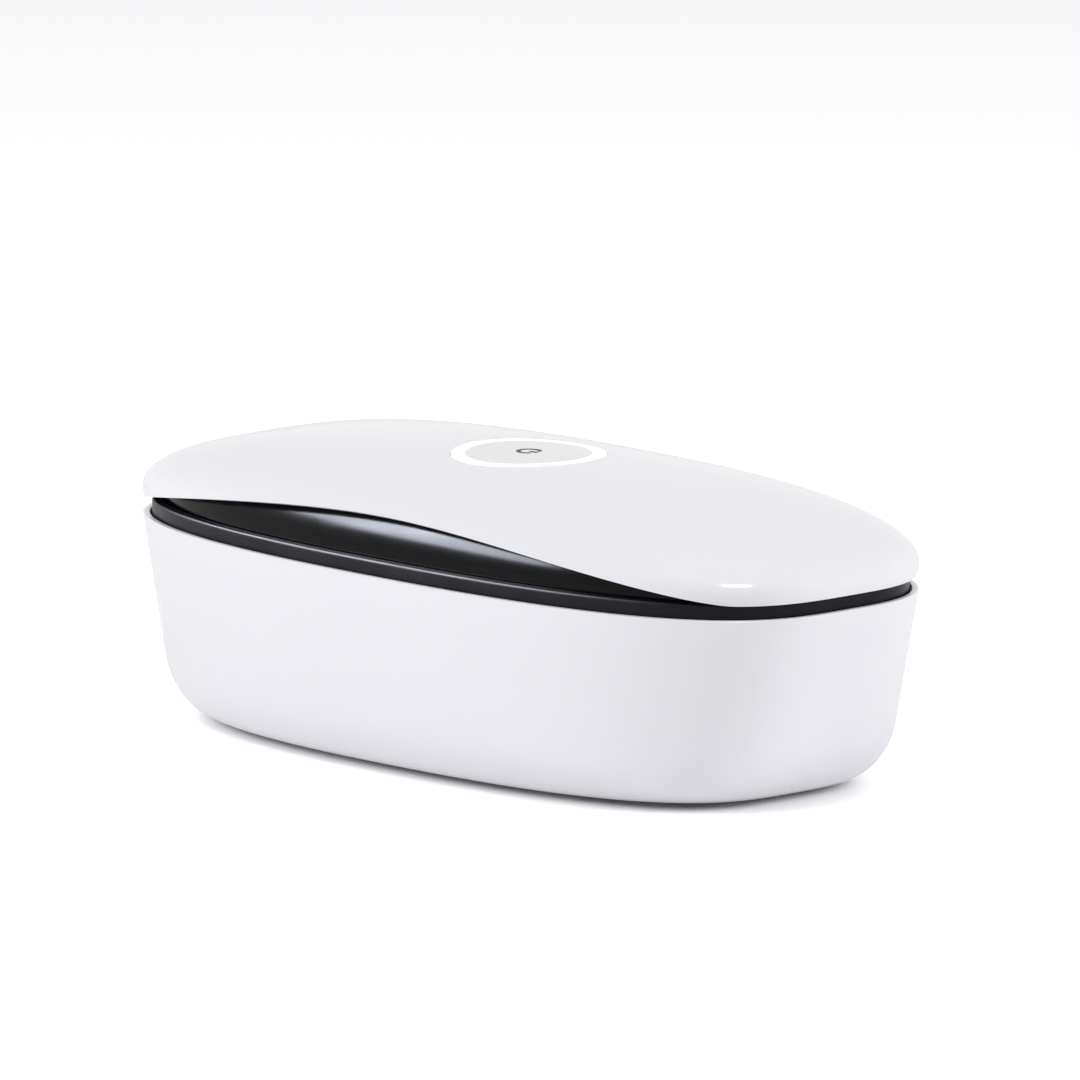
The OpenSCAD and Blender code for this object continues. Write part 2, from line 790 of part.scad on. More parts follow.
module lid_frame() {
    rise = [0.25, 0.5, 0.75, 1];
    outer = concat([for (v = [4 : -1 : 1]) frame_ring(rise[v - 1], 0)],
        [frame_ring(0, 0), ring(tub_h, skirt_in, skirt_z)]);
    inner = concat(
        [for (s = [[skirt_wall, skirt_z], [skirt_wall, flange_z], [skirt_wall + flange_w, flange_z],
            [skirt_wall + flange_w, flange_top_z], [skirt_wall, flange_top_z]]) ring(tub_h, skirt_in + s[0], s[1])],
        [for (v = [1 : 4]) frame_ring(rise[v - 1], skirt_wall)]);
    color("black")
        difference() {
            skin(concat(outer, inner));
            hinge_notch(skirt_z - 1, notch_top_z - 0.5, case_w / 2 - skirt_in - skirt_wall - 0.2);
            for (sx = [-1, 1])
                post(sx * leaf_screw_x, leaf_screw_y, flange_z - 1, flange_top_z + 1, 1.05);
        }
}

module lid_seal() {
    color("dimgray")
        difference() {
            oval_band(skirt_in + 0.2, skirt_in + skirt_wall, skirt_z - seal_t, skirt_z);
            hinge_notch(skirt_z - 2, skirt_z + 1, 0);
        }
}

module lid_magnet() {
    color("slategray")
        block(0, -(case_w / 2 - skirt_in - skirt_wall - 2.2), flange_top_z, [magnet_l, 3, 3]);
}

// Plated panel under the lid, with the lamp window and the posts that carry the boards
module reflector() {
    color("lightgray")
        difference() {
            union() {
                oval_plate(panel_in, panel_z, flange_z);
                corners(lamp_post_x, 0)
                    post(0, 0, flange_z - 0.5, lamp_board_z, board_post_r);
                corners(button_post, button_post)
                    post(0, 0, flange_z - 0.5, button_board_z, board_post_r);
                // Rails that locate the quartz window
                for (sy = [-1, 1])
                    block(0, sy * (window_w / 2 + fit_gap + 0.5), flange_z - 0.5, [window_l - 40, 1, 0.5 + window_t]);
            }
            block(0, 0, panel_z - 1, [window_l - 6, window_w - 6, panel_t + 2]);
            corners(lid_boss_x, lid_boss_y)
                post(0, 0, panel_z - 1, flange_z + 1, screw_r + fit_gap);
            corners(lamp_post_x, 0)
                post(0, 0, flange_z + 0.2, lamp_board_z + 1, 0.8);
            corners(button_post, button_post)
                post(0, 0, button_board_z - 6, button_board_z + 1, 0.8);
        }
}

// Lid: lamps

module uv_window() {
    color("lightcyan", 0.5)
        block(0, 0, flange_z, [window_l, window_w, window_t]);
}

module uv_board() {
    color("white")
        difference() {
            block(0, 0, lamp_board_z, [lamp_board_l, lamp_board_w, board_t]);
            corners(lamp_post_x, 0)
                post(0, 0, lamp_board_z - 1, lamp_board_z + board_t + 1, 1);
        }
}

module uv_lamps() {
    color("khaki")
        for (i = [0 : lamp_n - 1])
            translate([(i - (lamp_n - 1) / 2) * lamp_pitch, 0, 0]) {
                block(0, 0, lamp_board_z - 0.8, [lamp_size, lamp_size, 0.8]);
                post(0, 0, lamp_board_z - lamp_h, lamp_board_z - 0.8, lamp_size / 2 - 0.4);
            }
}

module uv_board_screws() {
    top = lamp_board_z + board_t;
    color("silver")
        for (sx = [-1, 1]) {
            post(sx * lamp_post_x, 0, top, top + small_head_h, small_head_r);
            post(sx * lamp_post_x, 0, flange_z + 0.6, top, small_screw_r);
        }
}

// Lid: switch, light ring and button

module button_board() {
    color("seagreen")
        difference() {
            post(0, 0, button_board_z, button_board_z + board_t, button_board_r);
            corners(button_post, button_post)
                post(0, 0, button_board_z - 1, button_board_z + board_t + 1, 1);
        }
}

module button_board_screws() {
    top = button_board_z + board_t;
    color("silver")
        corners(button_post, button_post) {
            post(0, 0, top, top + small_head_h, small_head_r);
            post(0, 0, button_board_z - 5, top, small_screw_r);
        }
}

module ring_lamps() {
    color("khaki")
        for (i = [0 : ring_lamp_n - 1])
            rotate([0, 0, i * 360 / ring_lamp_n])
                block(ring_r - ring_w / 2, 0, button_board_z + board_t, [1.6, 3, 0.8]);
}

module switch_body() {
    z = button_board_z + board_t;
    color("dimgray")
        difference() {
            block(0, 0, z, [6, 6, switch_h]);
            post(0, 0, z + switch_h - 1, z + switch_h + 1, plunger_r + 0.1);
        }
}

module switch_plunger() {
    z = button_board_z + board_t + switch_h;
    color("ivory")
        post(0, 0, z - 0.5, plunger_top_z - 0.05, plunger_r);
}

module lid_lead() {
    z = lamp_board_z + board_t + 0.8;
    color("khaki")
        for (s = [-1, 1])
            wire([
                [24 + lead_step * s, 4, z], [24 + lead_step * s, 11 + lead_step * s, z + 2],
                [12, 17 + lead_step * s, button_board_z - 3], [0, 15 + lead_step * s, button_board_z - lead_r - 0.1]
            ], lead_r);
}

// Ring of points on the dome at a radius, and one at a fixed height
function crown(r, lift = 0) = [for (i = [0 : crown_columns - 1]) let (
    x = r * cos(360 * i / crown_columns),
    y = r * sin(360 * i / crown_columns)
) [x, y, dome_z(x, y) + lift]];
function level(r, z) = [for (i = [0 : crown_columns - 1])
    [r * cos(360 * i / crown_columns), r * sin(360 * i / crown_columns), z]];

// Light ring: a clear diffuser that lies flush with the dome, on a flange under the cover
module light_ring() {
    flange_r = hole_r + 2.2;
    flange_under = case_h - 3.6;
    color("white")
        skin([
            crown(ring_in_r + 0.2), crown(ring_r - 0.2), crown(ring_r, -0.2), level(ring_r, flange_under),
            level(flange_r, flange_under - 0.2), level(flange_r, ring_base_z),
            level(ring_in_r, ring_base_z), crown(ring_in_r, -0.2)
        ]);
}

// Button: a cap with the dome's own top, held down by a flange under the light ring
module button_cap() {
    flange_r = ring_in_r + 1.4;
    color("white")
        union() {
            skin([
                crown(cap_r * 0.25), crown(cap_r * 0.5), crown(cap_r * 0.75), crown(cap_r - 0.2),
                crown(cap_r, -0.2), level(cap_r, cap_skin_z)
            ], looped = false);
            difference() {
                union() {
                    post(0, 0, cap_base_z, cap_skin_z + 0.5, cap_r - 0.1);
                    post(0, 0, cap_base_z, ring_base_z - fit_gap, flange_r);
                }
                post(0, 0, cap_base_z - 1, cap_skin_z, cap_r - 2);
            }
            post(0, 0, plunger_top_z, cap_skin_z + 0.5, stem_r);
        }
}

// Lid: white cover

module lid_cover() {
    color("white")
        difference() {
            union() {
                skin(concat(
                    [for (s = [0, 0.33, 0.67]) crown_ring(s, 0)],
                    [for (s = [0.45, 0.57, 0.69, 0.79, 0.87, 0.93, 0.97, 1]) cover_ring(s, 0)],
                    [cover_ring(1, edge_t)],
                    [for (s = [0.95, 0.87, 0.74, 0.6, 0.45]) cover_ring(s, lid_wall)],
                    [for (s = [0.5, 0]) crown_ring(s, lid_wall)]
                ));
                corners(lid_boss_x, lid_boss_y)
                    post(0, 0, flange_z + fit_gap, dome_z(lid_boss_x, lid_boss_y) - lid_wall / 2, lid_boss_r);
            }
            hinge_notch(0, notch_top_z, notch_y);
            corners(lid_boss_x, lid_boss_y)
                post(0, 0, flange_z - 1, dome_z(lid_boss_x, lid_boss_y) - lid_boss_top, screw_r);
        }
}

module lid_screws() {
    color("silver")
        corners(lid_boss_x, lid_boss_y)
            screw(panel_z, 10);
}

bottom_cover();
foot_front_left();
foot_front_right();
foot_rear_left();
foot_rear_right();
bottom_screws();
tub_shell();
chassis();
battery();
battery_clips();
battery_lead();
main_board();
board_chips();
board_screws();
usb_socket();
liner_tray();
rim_frame();
base_magnet();
lid_sensor();
sensor_lead();
hinge_base();
hinge_screws();
hinge_pin();
lid_hinge();
lid_hinge_screws();
lid_frame();
lid_seal();
lid_magnet();
reflector();
uv_window();
uv_board();
uv_lamps();
uv_board_screws();
button_board();
ring_lamps();
button_board_screws();
switch_body();
switch_plunger();
lid_lead();
light_ring();
button_cap();
lid_cover();
lid_screws();
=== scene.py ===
import math

import bmesh
import bpy
import numpy as np
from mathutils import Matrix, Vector


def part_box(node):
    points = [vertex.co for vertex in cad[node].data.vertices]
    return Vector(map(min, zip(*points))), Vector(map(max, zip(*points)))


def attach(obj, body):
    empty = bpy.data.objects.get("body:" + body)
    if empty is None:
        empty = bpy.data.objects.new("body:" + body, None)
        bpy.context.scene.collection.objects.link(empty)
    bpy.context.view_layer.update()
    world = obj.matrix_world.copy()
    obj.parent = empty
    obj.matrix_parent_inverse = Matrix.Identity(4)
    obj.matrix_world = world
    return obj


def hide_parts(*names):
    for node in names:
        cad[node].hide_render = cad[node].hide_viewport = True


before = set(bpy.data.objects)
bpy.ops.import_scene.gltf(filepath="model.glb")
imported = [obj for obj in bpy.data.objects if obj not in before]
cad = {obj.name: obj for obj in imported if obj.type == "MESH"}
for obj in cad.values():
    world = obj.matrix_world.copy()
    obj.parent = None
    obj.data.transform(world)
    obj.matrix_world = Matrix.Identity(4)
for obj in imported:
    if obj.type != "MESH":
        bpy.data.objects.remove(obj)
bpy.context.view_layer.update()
MM = 0.001


# Camera. A long lens far away, because the picture is close to a parallel view. It looks down on the
# right-hand end of the case, and its aim is set so that the case lies in the frame as pictured.
view_azimuth = math.radians(46.5)
view_elevation = math.radians(10.42)
view_distance = 10.0
view_width = 0.2681
aim_height = 0.0375
aim_right = 0.00274
aim_up = 0.01481
sensor_width = 36
view_near = 0.1
view_far = 30


def direction(azimuth, rise):
    """The way from the case to a camera or a lamp. Azimuth 0 is straight in front of the case."""
    return Vector((math.sin(azimuth) * math.cos(rise), -math.cos(azimuth) * math.cos(rise), math.sin(rise)))


def add_object(name, data):
    """A new object in the scene for a camera, a lamp or a mesh."""
    made = bpy.data.objects.new(name, data)
    bpy.context.scene.collection.objects.link(made)
    return made


camera = add_object("camera", bpy.data.cameras.new("camera"))
bpy.context.scene.camera = camera
camera.data.sensor_width = sensor_width
camera.data.lens = sensor_width * view_distance / view_width
back = direction(view_azimuth, view_elevation)
right = Vector((math.cos(view_azimuth), math.sin(view_azimuth), 0))
up = back.cross(right)
camera.rotation_mode = "QUATERNION"
camera.rotation_quaternion = back.to_track_quat("Z", "Y")
camera.location = Vector((0, 0, aim_height)) + right * aim_right + up * aim_up + back * view_distance
camera.data.clip_start = view_near
camera.data.clip_end = view_far


# Floor and backdrop. A white painted table that keeps the case's shadow, in a white room. The room looks
# white but lights the case only softly, and the table is kept dim in the reflections on the case.
def linear(hex_colour):
    """The linear colour of an sRGB hex value, with alpha 1."""
    parts = [int(hex_colour[i:i + 2], 16) / 255 for i in (1, 3, 5)]
    return tuple(c / 12.92 if c <= 0.04045 else ((c + 0.055) / 1.055) ** 2.4 for c in parts) + (1.0,)


def add_node(tree, kind, settings=None, inputs=None):
    """Adds a node with its settings. Each input is a value, or an output to link from."""
    made = tree.nodes.new(kind)
    for key, value in (settings or {}).items():
        setattr(made, key, value)
    for key, value in (inputs or {}).items():
        if isinstance(value, bpy.types.NodeSocket):
            tree.links.new(value, made.inputs[key])
        else:
            made.inputs[key].default_value = value
    return made


floor_radius = 1.3
table_white = linear("#f4f4f5")
table_shown = 1.75
table_mirrored = 0.2
room_light = 0.5
contact_reach = 0.03
contact_azimuth = math.radians(-122)
contact_rise = math.radians(22)
contact_dark = 0.42
contact_open = 0.62

bpy.ops.mesh.primitive_circle_add(vertices=96, radius=floor_radius, fill_type="NGON")
floor = bpy.context.object
floor.name = "floor"
painted_table = bpy.data.materials.new("white_painted_table")
painted_table.use_nodes = True
tree = painted_table.node_tree
tree.nodes.clear()
ray = add_node(tree, "ShaderNodeLightPath").outputs
# Soft contact shade on the side that faces the camera: the case hides the light from behind its left end
from_behind = add_node(tree, "ShaderNodeCombineXYZ", None,
                       dict(zip("XYZ", direction(contact_azimuth, contact_rise))))
shade = add_node(tree, "ShaderNodeAmbientOcclusion", {"samples": 12}, {
    "Distance": contact_reach, "Normal": from_behind.outputs[0]})
bright = add_node(tree, "ShaderNodeMapRange", None, {
    "Value": shade.outputs["AO"], "From Max": contact_open, "To Min": contact_dark, "To Max": table_shown})
shown = add_node(tree, "ShaderNodeMix", {"data_type": "FLOAT"}, {
    0: ray["Is Camera Ray"], 2: 1.0, 3: bright.outputs[0]})
paint = add_node(tree, "ShaderNodeVectorMath", {"operation": "SCALE"},
                 {0: table_white[:3], "Scale": shown.outputs[0]})
matt = add_node(tree, "ShaderNodeBsdfDiffuse", None, {"Color": paint.outputs[0]})
seen = add_node(tree, "ShaderNodeMath", {"operation": "MAXIMUM"},
                {0: ray["Is Glossy Ray"], 1: ray["Is Transmission Ray"]})
strength = add_node(tree, "ShaderNodeMath", {"operation": "MULTIPLY"},
                    {0: seen.outputs[0], 1: table_mirrored})
glow = add_node(tree, "ShaderNodeEmission", None, {"Color": (1, 1, 1, 1), "Strength": strength.outputs[0]})
both = add_node(tree, "ShaderNodeAddShader", None, {0: matt.outputs[0], 1: glow.outputs[0]})
add_node(tree, "ShaderNodeOutputMaterial", None, {"Surface": both.outputs[0]})
floor.data.materials.append(painted_table)

room = bpy.data.worlds.new("white_room")
bpy.context.scene.world = room
room.use_nodes = True
tree = room.node_tree
tree.nodes.clear()
ray = add_node(tree, "ShaderNodeLightPath").outputs
lit = add_node(tree, "ShaderNodeBackground", None, {"Color": linear("#f4f4f5"), "Strength": room_light})
white = add_node(tree, "ShaderNodeBackground", None, {"Color": (1, 1, 1, 1)})
seen = add_node(tree, "ShaderNodeMath", {"operation": "MAXIMUM"},
                {0: ray["Is Camera Ray"], 1: ray["Is Glossy Ray"]})
seen = add_node(tree, "ShaderNodeMath", {"operation": "MAXIMUM"},
                {0: seen.outputs[0], 1: ray["Is Transmission Ray"]})
mixed = add_node(tree, "ShaderNodeMixShader", None,
                 {0: seen.outputs[0], 1: lit.outputs[0], 2: white.outputs[0]})
add_node(tree, "ShaderNodeOutputWorld", None, {"Surface": mixed.outputs[0]})
bpy.context.scene.view_settings.view_transform = "Standard"


# Lights. Soft boxes at the front left, over the front and behind the right end light the white shells. The
# corner that faces the camera gets the least. Three more are seen only in gloss, two of them in black parts.
def soft_box(name, azimuth, elevation, size, power, tint="#ffffff", gloss_only=False, only_on=None):
    """A rectangular soft box that faces the case from a direction in degrees. Azimuth 0 is in front of it."""
    away = direction(math.radians(azimuth), math.radians(elevation))
    lamp = bpy.data.lights.new(name, "AREA")
    lamp.shape = "RECTANGLE"
    lamp.size, lamp.size_y = size
    lamp.energy = power
    lamp.color = linear(tint)[:3]
    made = add_object(name, lamp)
    made.location = away * light_distance + Vector((0, 0, aim_height))
    made.rotation_mode = "QUATERNION"
    made.rotation_quaternion = away.to_track_quat("Z", "Y")
    made.visible_camera = False
    made.visible_diffuse = not gloss_only
    made.visible_glossy = gloss_only
    if only_on:
        made.light_linking.receiver_collection = only_on


light_distance = 1.4

soft_box("box_front_left", -25, 25, (0.55, 0.6), 6.8)
soft_box("box_right_behind", 120, 25, (0.5, 0.7), 7.9)
soft_box("box_over_front", 0, 60, (0.5, 0.5), 3.0)
soft_box("streak_right", 58, 46, (0.46, 0.24), 6.0, gloss_only=True)
black_parts = bpy.data.collections.new("black_parts")
soft_box("sheen_left", -64, 30, (0.78, 0.56), 46.0, "#e8eefb", gloss_only=True, only_on=black_parts)
soft_box("sheen_right", -38, 28, (0.55, 0.6), 44.0, "#e8eefb", gloss_only=True, only_on=black_parts)


# Bottom cover. A moulded plate of matt white ABS that closes the tub from below, with a raised edge and
# standoffs for the main board. Its fine spark-eroded grain breaks up the light.
flow_mark_mm = 45
haze_mm = 12
weld_mm = 0.002
broken_edge_angle = math.radians(40)


def new_material(name):
    """A new material, its node tree, and the Object coordinates that its patterns follow."""
    made = bpy.data.materials.new(name)
    made.use_nodes = True
    made.node_tree.nodes.clear()
    return made, made.node_tree, add_node(made.node_tree, "ShaderNodeTexCoord").outputs["Object"]


def moulded_abs(name, colour, roughness, grain_mm, grain_depth_mm, unevenness=0.015, shine=0.5):
    """Injection-moulded ABS: a nearly even colour with faint flow marks, and its mould's grain or ripple."""
    made, tree, place = new_material(name)
    flow = add_node(tree, "ShaderNodeTexNoise", None,
                    {"Vector": place, "Scale": 1000 / flow_mark_mm, "Detail": 3.0})
    base = linear(colour)
    dull = tuple(c * (1 - unevenness * 2) for c in base[:3]) + (1.0,)
    tone = add_node(tree, "ShaderNodeMix", {"data_type": "RGBA"},
                    {"Factor": flow.outputs["Fac"], 6: dull, 7: base})
    haze = add_node(tree, "ShaderNodeTexNoise", None,
                    {"Vector": place, "Scale": 1000 / haze_mm, "Detail": 4.0})
    rough = add_node(tree, "ShaderNodeMapRange", None, {
        "Value": haze.outputs["Fac"], "From Min": 0.3, "From Max": 0.7,
        "To Min": roughness * 0.85, "To Max": roughness * 1.15})
    grain = add_node(tree, "ShaderNodeTexNoise", None,
                     {"Vector": place, "Scale": 1000 / grain_mm, "Detail": 2.0})
    bump = add_node(tree, "ShaderNodeBump", None, {
        "Height": grain.outputs["Fac"], "Distance": grain_depth_mm * MM})
    shader = add_node(tree, "ShaderNodeBsdfPrincipled", None, {
        "Base Color": tone.outputs[2], "Roughness": rough.outputs[0], "IOR": 1.53,
        "Specular IOR Level": shine, "Normal": bump.outputs[0]})
    add_node(tree, "ShaderNodeOutputMaterial", None, {"Surface": shader.outputs[0]})
    return made


def finish_node(name, material, bevel_mm=0.0):
    """Gives a CAD node its finish: one smooth skin, and small broken edges where it has any."""
    node = cad[name]
    node.data.materials.clear()
    node.data.materials.append(material)
    weld = node.modifiers.new("weld", "WELD")
    weld.merge_threshold = weld_mm * MM
    if bevel_mm:
        bevel = node.modifiers.new("broken_edges", "BEVEL")
        bevel.width = bevel_mm * MM
        bevel.segments = 2
        bevel.limit_method = "ANGLE"
        bevel.angle_limit = broken_edge_angle
        even = node.modifiers.new("even_normals", "WEIGHTED_NORMAL")
        even.keep_sharp = True
    node.data.shade_smooth()


# Fine spark-eroded grain, drawn at 0.5 mm because the real 0.1 mm is too fine to show
matt_white_abs = moulded_abs("matt_white_abs", "#e4e4e8", 0.55, 0.5, 0.012)
finish_node("bottom_cover", matt_white_abs, 0.25)


# Feet. Four discs of soft dark rubber, die-cut and pressed into round recesses of the bottom cover. The
# rubber is matt with a faint talc bloom.
foot_radius = 6.0
foot_edge = 0.8
foot_grooves = (2.2, 3.8)
groove_depth = 0.25
groove_half_top = 0.3
groove_half_floor = 0.1
bloom_mm = 4
skin_grain_mm = 0.4
skin_grain_depth_mm = 0.02
sharp_angle = math.radians(35)
foot_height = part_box("foot_front_left")[1].z / MM


def lathe(name, profile, centre, body, material, columns=64):
    """Turns a closed profile of (radius, height) points, in mm, about an upright line. Radius 0 closes it."""
    mesh = bmesh.new()
    rings = []
    for radius, height in profile:
        if radius == 0:
            rings.append([mesh.verts.new((centre[0] * MM, centre[1] * MM, height * MM))])
            continue
        rings.append([mesh.verts.new(((centre[0] + radius * math.cos(2 * math.pi * i / columns)) * MM,
                                      (centre[1] + radius * math.sin(2 * math.pi * i / columns)) * MM,
                                      height * MM)) for i in range(columns)])
    for lower, upper in zip(rings, rings[1:]):
        for i in range(columns):
            j = (i + 1) % columns
            corners = [lower[i % len(lower)], lower[j % len(lower)],
                       upper[j % len(upper)], upper[i % len(upper)]]
            mesh.faces.new(list(dict.fromkeys(corners)))
    return finish_mesh(name, mesh, body, material)


def mesh_data(name, mesh):
    """Turns a bmesh to mesh data and frees it."""
    data = bpy.data.meshes.new(name)
    mesh.to_mesh(data)
    mesh.free()
    return data


def finish_mesh(name, mesh, body, material):
    """Makes a piece of a bmesh, with its faces outwards and its sharp edges kept, and rides it on a body."""
    if mesh.calc_volume(signed=True) < 0:
        bmesh.ops.reverse_faces(mesh, faces=mesh.faces)
    data = mesh_data(name, mesh)
    data.shade_smooth()
    data.set_sharp_from_angle(angle=sharp_angle)
    data.materials.append(material)
    made = add_object(name, data)
    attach(made, body)
    return made


soft_rubber, tree, place = new_material("soft_silicone_rubber")
bloom = add_node(tree, "ShaderNodeTexNoise", None, {"Vector": place, "Scale": 1000 / bloom_mm, "Detail": 5.0})
tone = add_node(tree, "ShaderNodeMix", {"data_type": "RGBA"},
                {"Factor": bloom.outputs["Fac"], 6: linear("#2b2b2d"), 7: linear("#3c3c3e")})
skin_grain = add_node(tree, "ShaderNodeTexNoise", None,
                      {"Vector": place, "Scale": 1000 / skin_grain_mm, "Detail": 2.0})
bump = add_node(tree, "ShaderNodeBump", None, {
    "Height": skin_grain.outputs["Fac"], "Distance": skin_grain_depth_mm * MM})
shader = add_node(tree, "ShaderNodeBsdfPrincipled", None, {
    "Base Color": tone.outputs[2], "Roughness": 0.72, "IOR": 1.41, "Normal": bump.outputs[0]})
add_node(tree, "ShaderNodeOutputMaterial", None, {"Surface": shader.outputs[0]})

for foot in ("foot_front_left", "foot_front_right", "foot_rear_left", "foot_rear_right"):
    low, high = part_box(foot)
    outline = [(0, 0)]
    for groove in foot_grooves:
        outline += [(groove - groove_half_top, 0), (groove - groove_half_floor, groove_depth),
                    (groove + groove_half_floor, groove_depth), (groove + groove_half_top, 0)]
    outline += [(foot_radius - foot_edge, 0)]
    outline += [(foot_radius - foot_edge * (1 - math.sin(math.radians(a))),
                 foot_edge * (1 - math.cos(math.radians(a)))) for a in (22.5, 45, 67.5, 90)]
    outline += [(foot_radius, foot_height), (0, foot_height)]
    middle = ((low.x + high.x) / 2 / MM, (low.y + high.y) / 2 / MM)
    pad = lathe(foot + "_pad", outline, middle, "base", soft_rubber)
    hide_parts(foot)


# Screws. Pan-head self-tapping screws of zinc-plated steel with a cross recess, driven up into the posts of
# the inner plate. The zinc is bright, with faint cloudy stains.
head_radius = 2.5
head_height = 1.2
head_fall = 0.45
fall_power = 2.0
shank_radius = 1.25
slot_width = 0.6
slot_reach = 1.1
stain_mm = 2.5
layout_sharp_angle = math.radians(30)


def plain_finish(name, colour, colour_2, roughness, patch_mm, metallic=0.0, bump_mm=0.0, ior=1.5, detail=3.0):
    """A finish in two near colours and a light bump, in soft patches. Two roughnesses go with the patches."""
    made, tree, place = new_material(name)
    patch = add_node(tree, "ShaderNodeTexNoise", None,
                     {"Vector": place, "Scale": 1000 / patch_mm, "Detail": detail}).outputs["Fac"]
    tone = add_node(tree, "ShaderNodeMix", {"data_type": "RGBA"},
                    {"Factor": patch, 6: linear(colour), 7: linear(colour_2)})
    if isinstance(roughness, tuple):
        roughness = add_node(tree, "ShaderNodeMapRange", None,
                             {"Value": patch, "To Min": roughness[0], "To Max": roughness[1]}).outputs[0]
    inputs = {"Base Color": tone.outputs[2], "Roughness": roughness, "Metallic": metallic}
    if not metallic:
        inputs["IOR"] = ior
    if bump_mm:
        inputs["Normal"] = add_node(tree, "ShaderNodeBump", None,
                                    {"Height": patch, "Distance": bump_mm * MM}).outputs[0]
    shader = add_node(tree, "ShaderNodeBsdfPrincipled", None, inputs)
    add_node(tree, "ShaderNodeOutputMaterial", None, {"Surface": shader.outputs[0]})
    return made


zinc_steel = plain_finish("zinc_plated_steel", "#a9abb0", "#c9cacd", (0.22, 0.4), stain_mm, 1.0, detail=4.0)


def layout_tree(name, sizes, counts=()):
    """A Geometry Nodes tree with a named input for each count and each size, and those inputs."""
    tree = bpy.data.node_groups.new(name, "GeometryNodeTree")
    tree.interface.new_socket("Geometry", in_out="INPUT", socket_type="NodeSocketGeometry")
    for label in counts:
        tree.interface.new_socket(label, in_out="INPUT", socket_type="NodeSocketInt")
    for label in sizes:
        tree.interface.new_socket(label, in_out="INPUT", socket_type="NodeSocketFloat")
    tree.interface.new_socket("Geometry", in_out="OUTPUT", socket_type="NodeSocketGeometry")
    return tree, add_node(tree, "NodeGroupInput").outputs


def lay_out(name, tree, start, values):
    """Runs a layout tree on a start mesh, with its inputs set by name, and keeps the result as a mesh."""
    source = add_object(name + "_source", start)
    layout = source.modifiers.new("layout", "NODES")
    layout.node_group = tree
    for item in tree.interface.items_tree:
        if item.in_out == "INPUT" and item.name in values:
            layout[item.identifier] = values[item.name]
    graph = bpy.context.evaluated_depsgraph_get()
    data = bpy.data.meshes.new_from_object(source.evaluated_get(graph))
    data.name = name
    data.shade_smooth()
    data.set_sharp_from_angle(angle=layout_sharp_angle)
    bpy.data.objects.remove(source)
    return add_object(name, data)


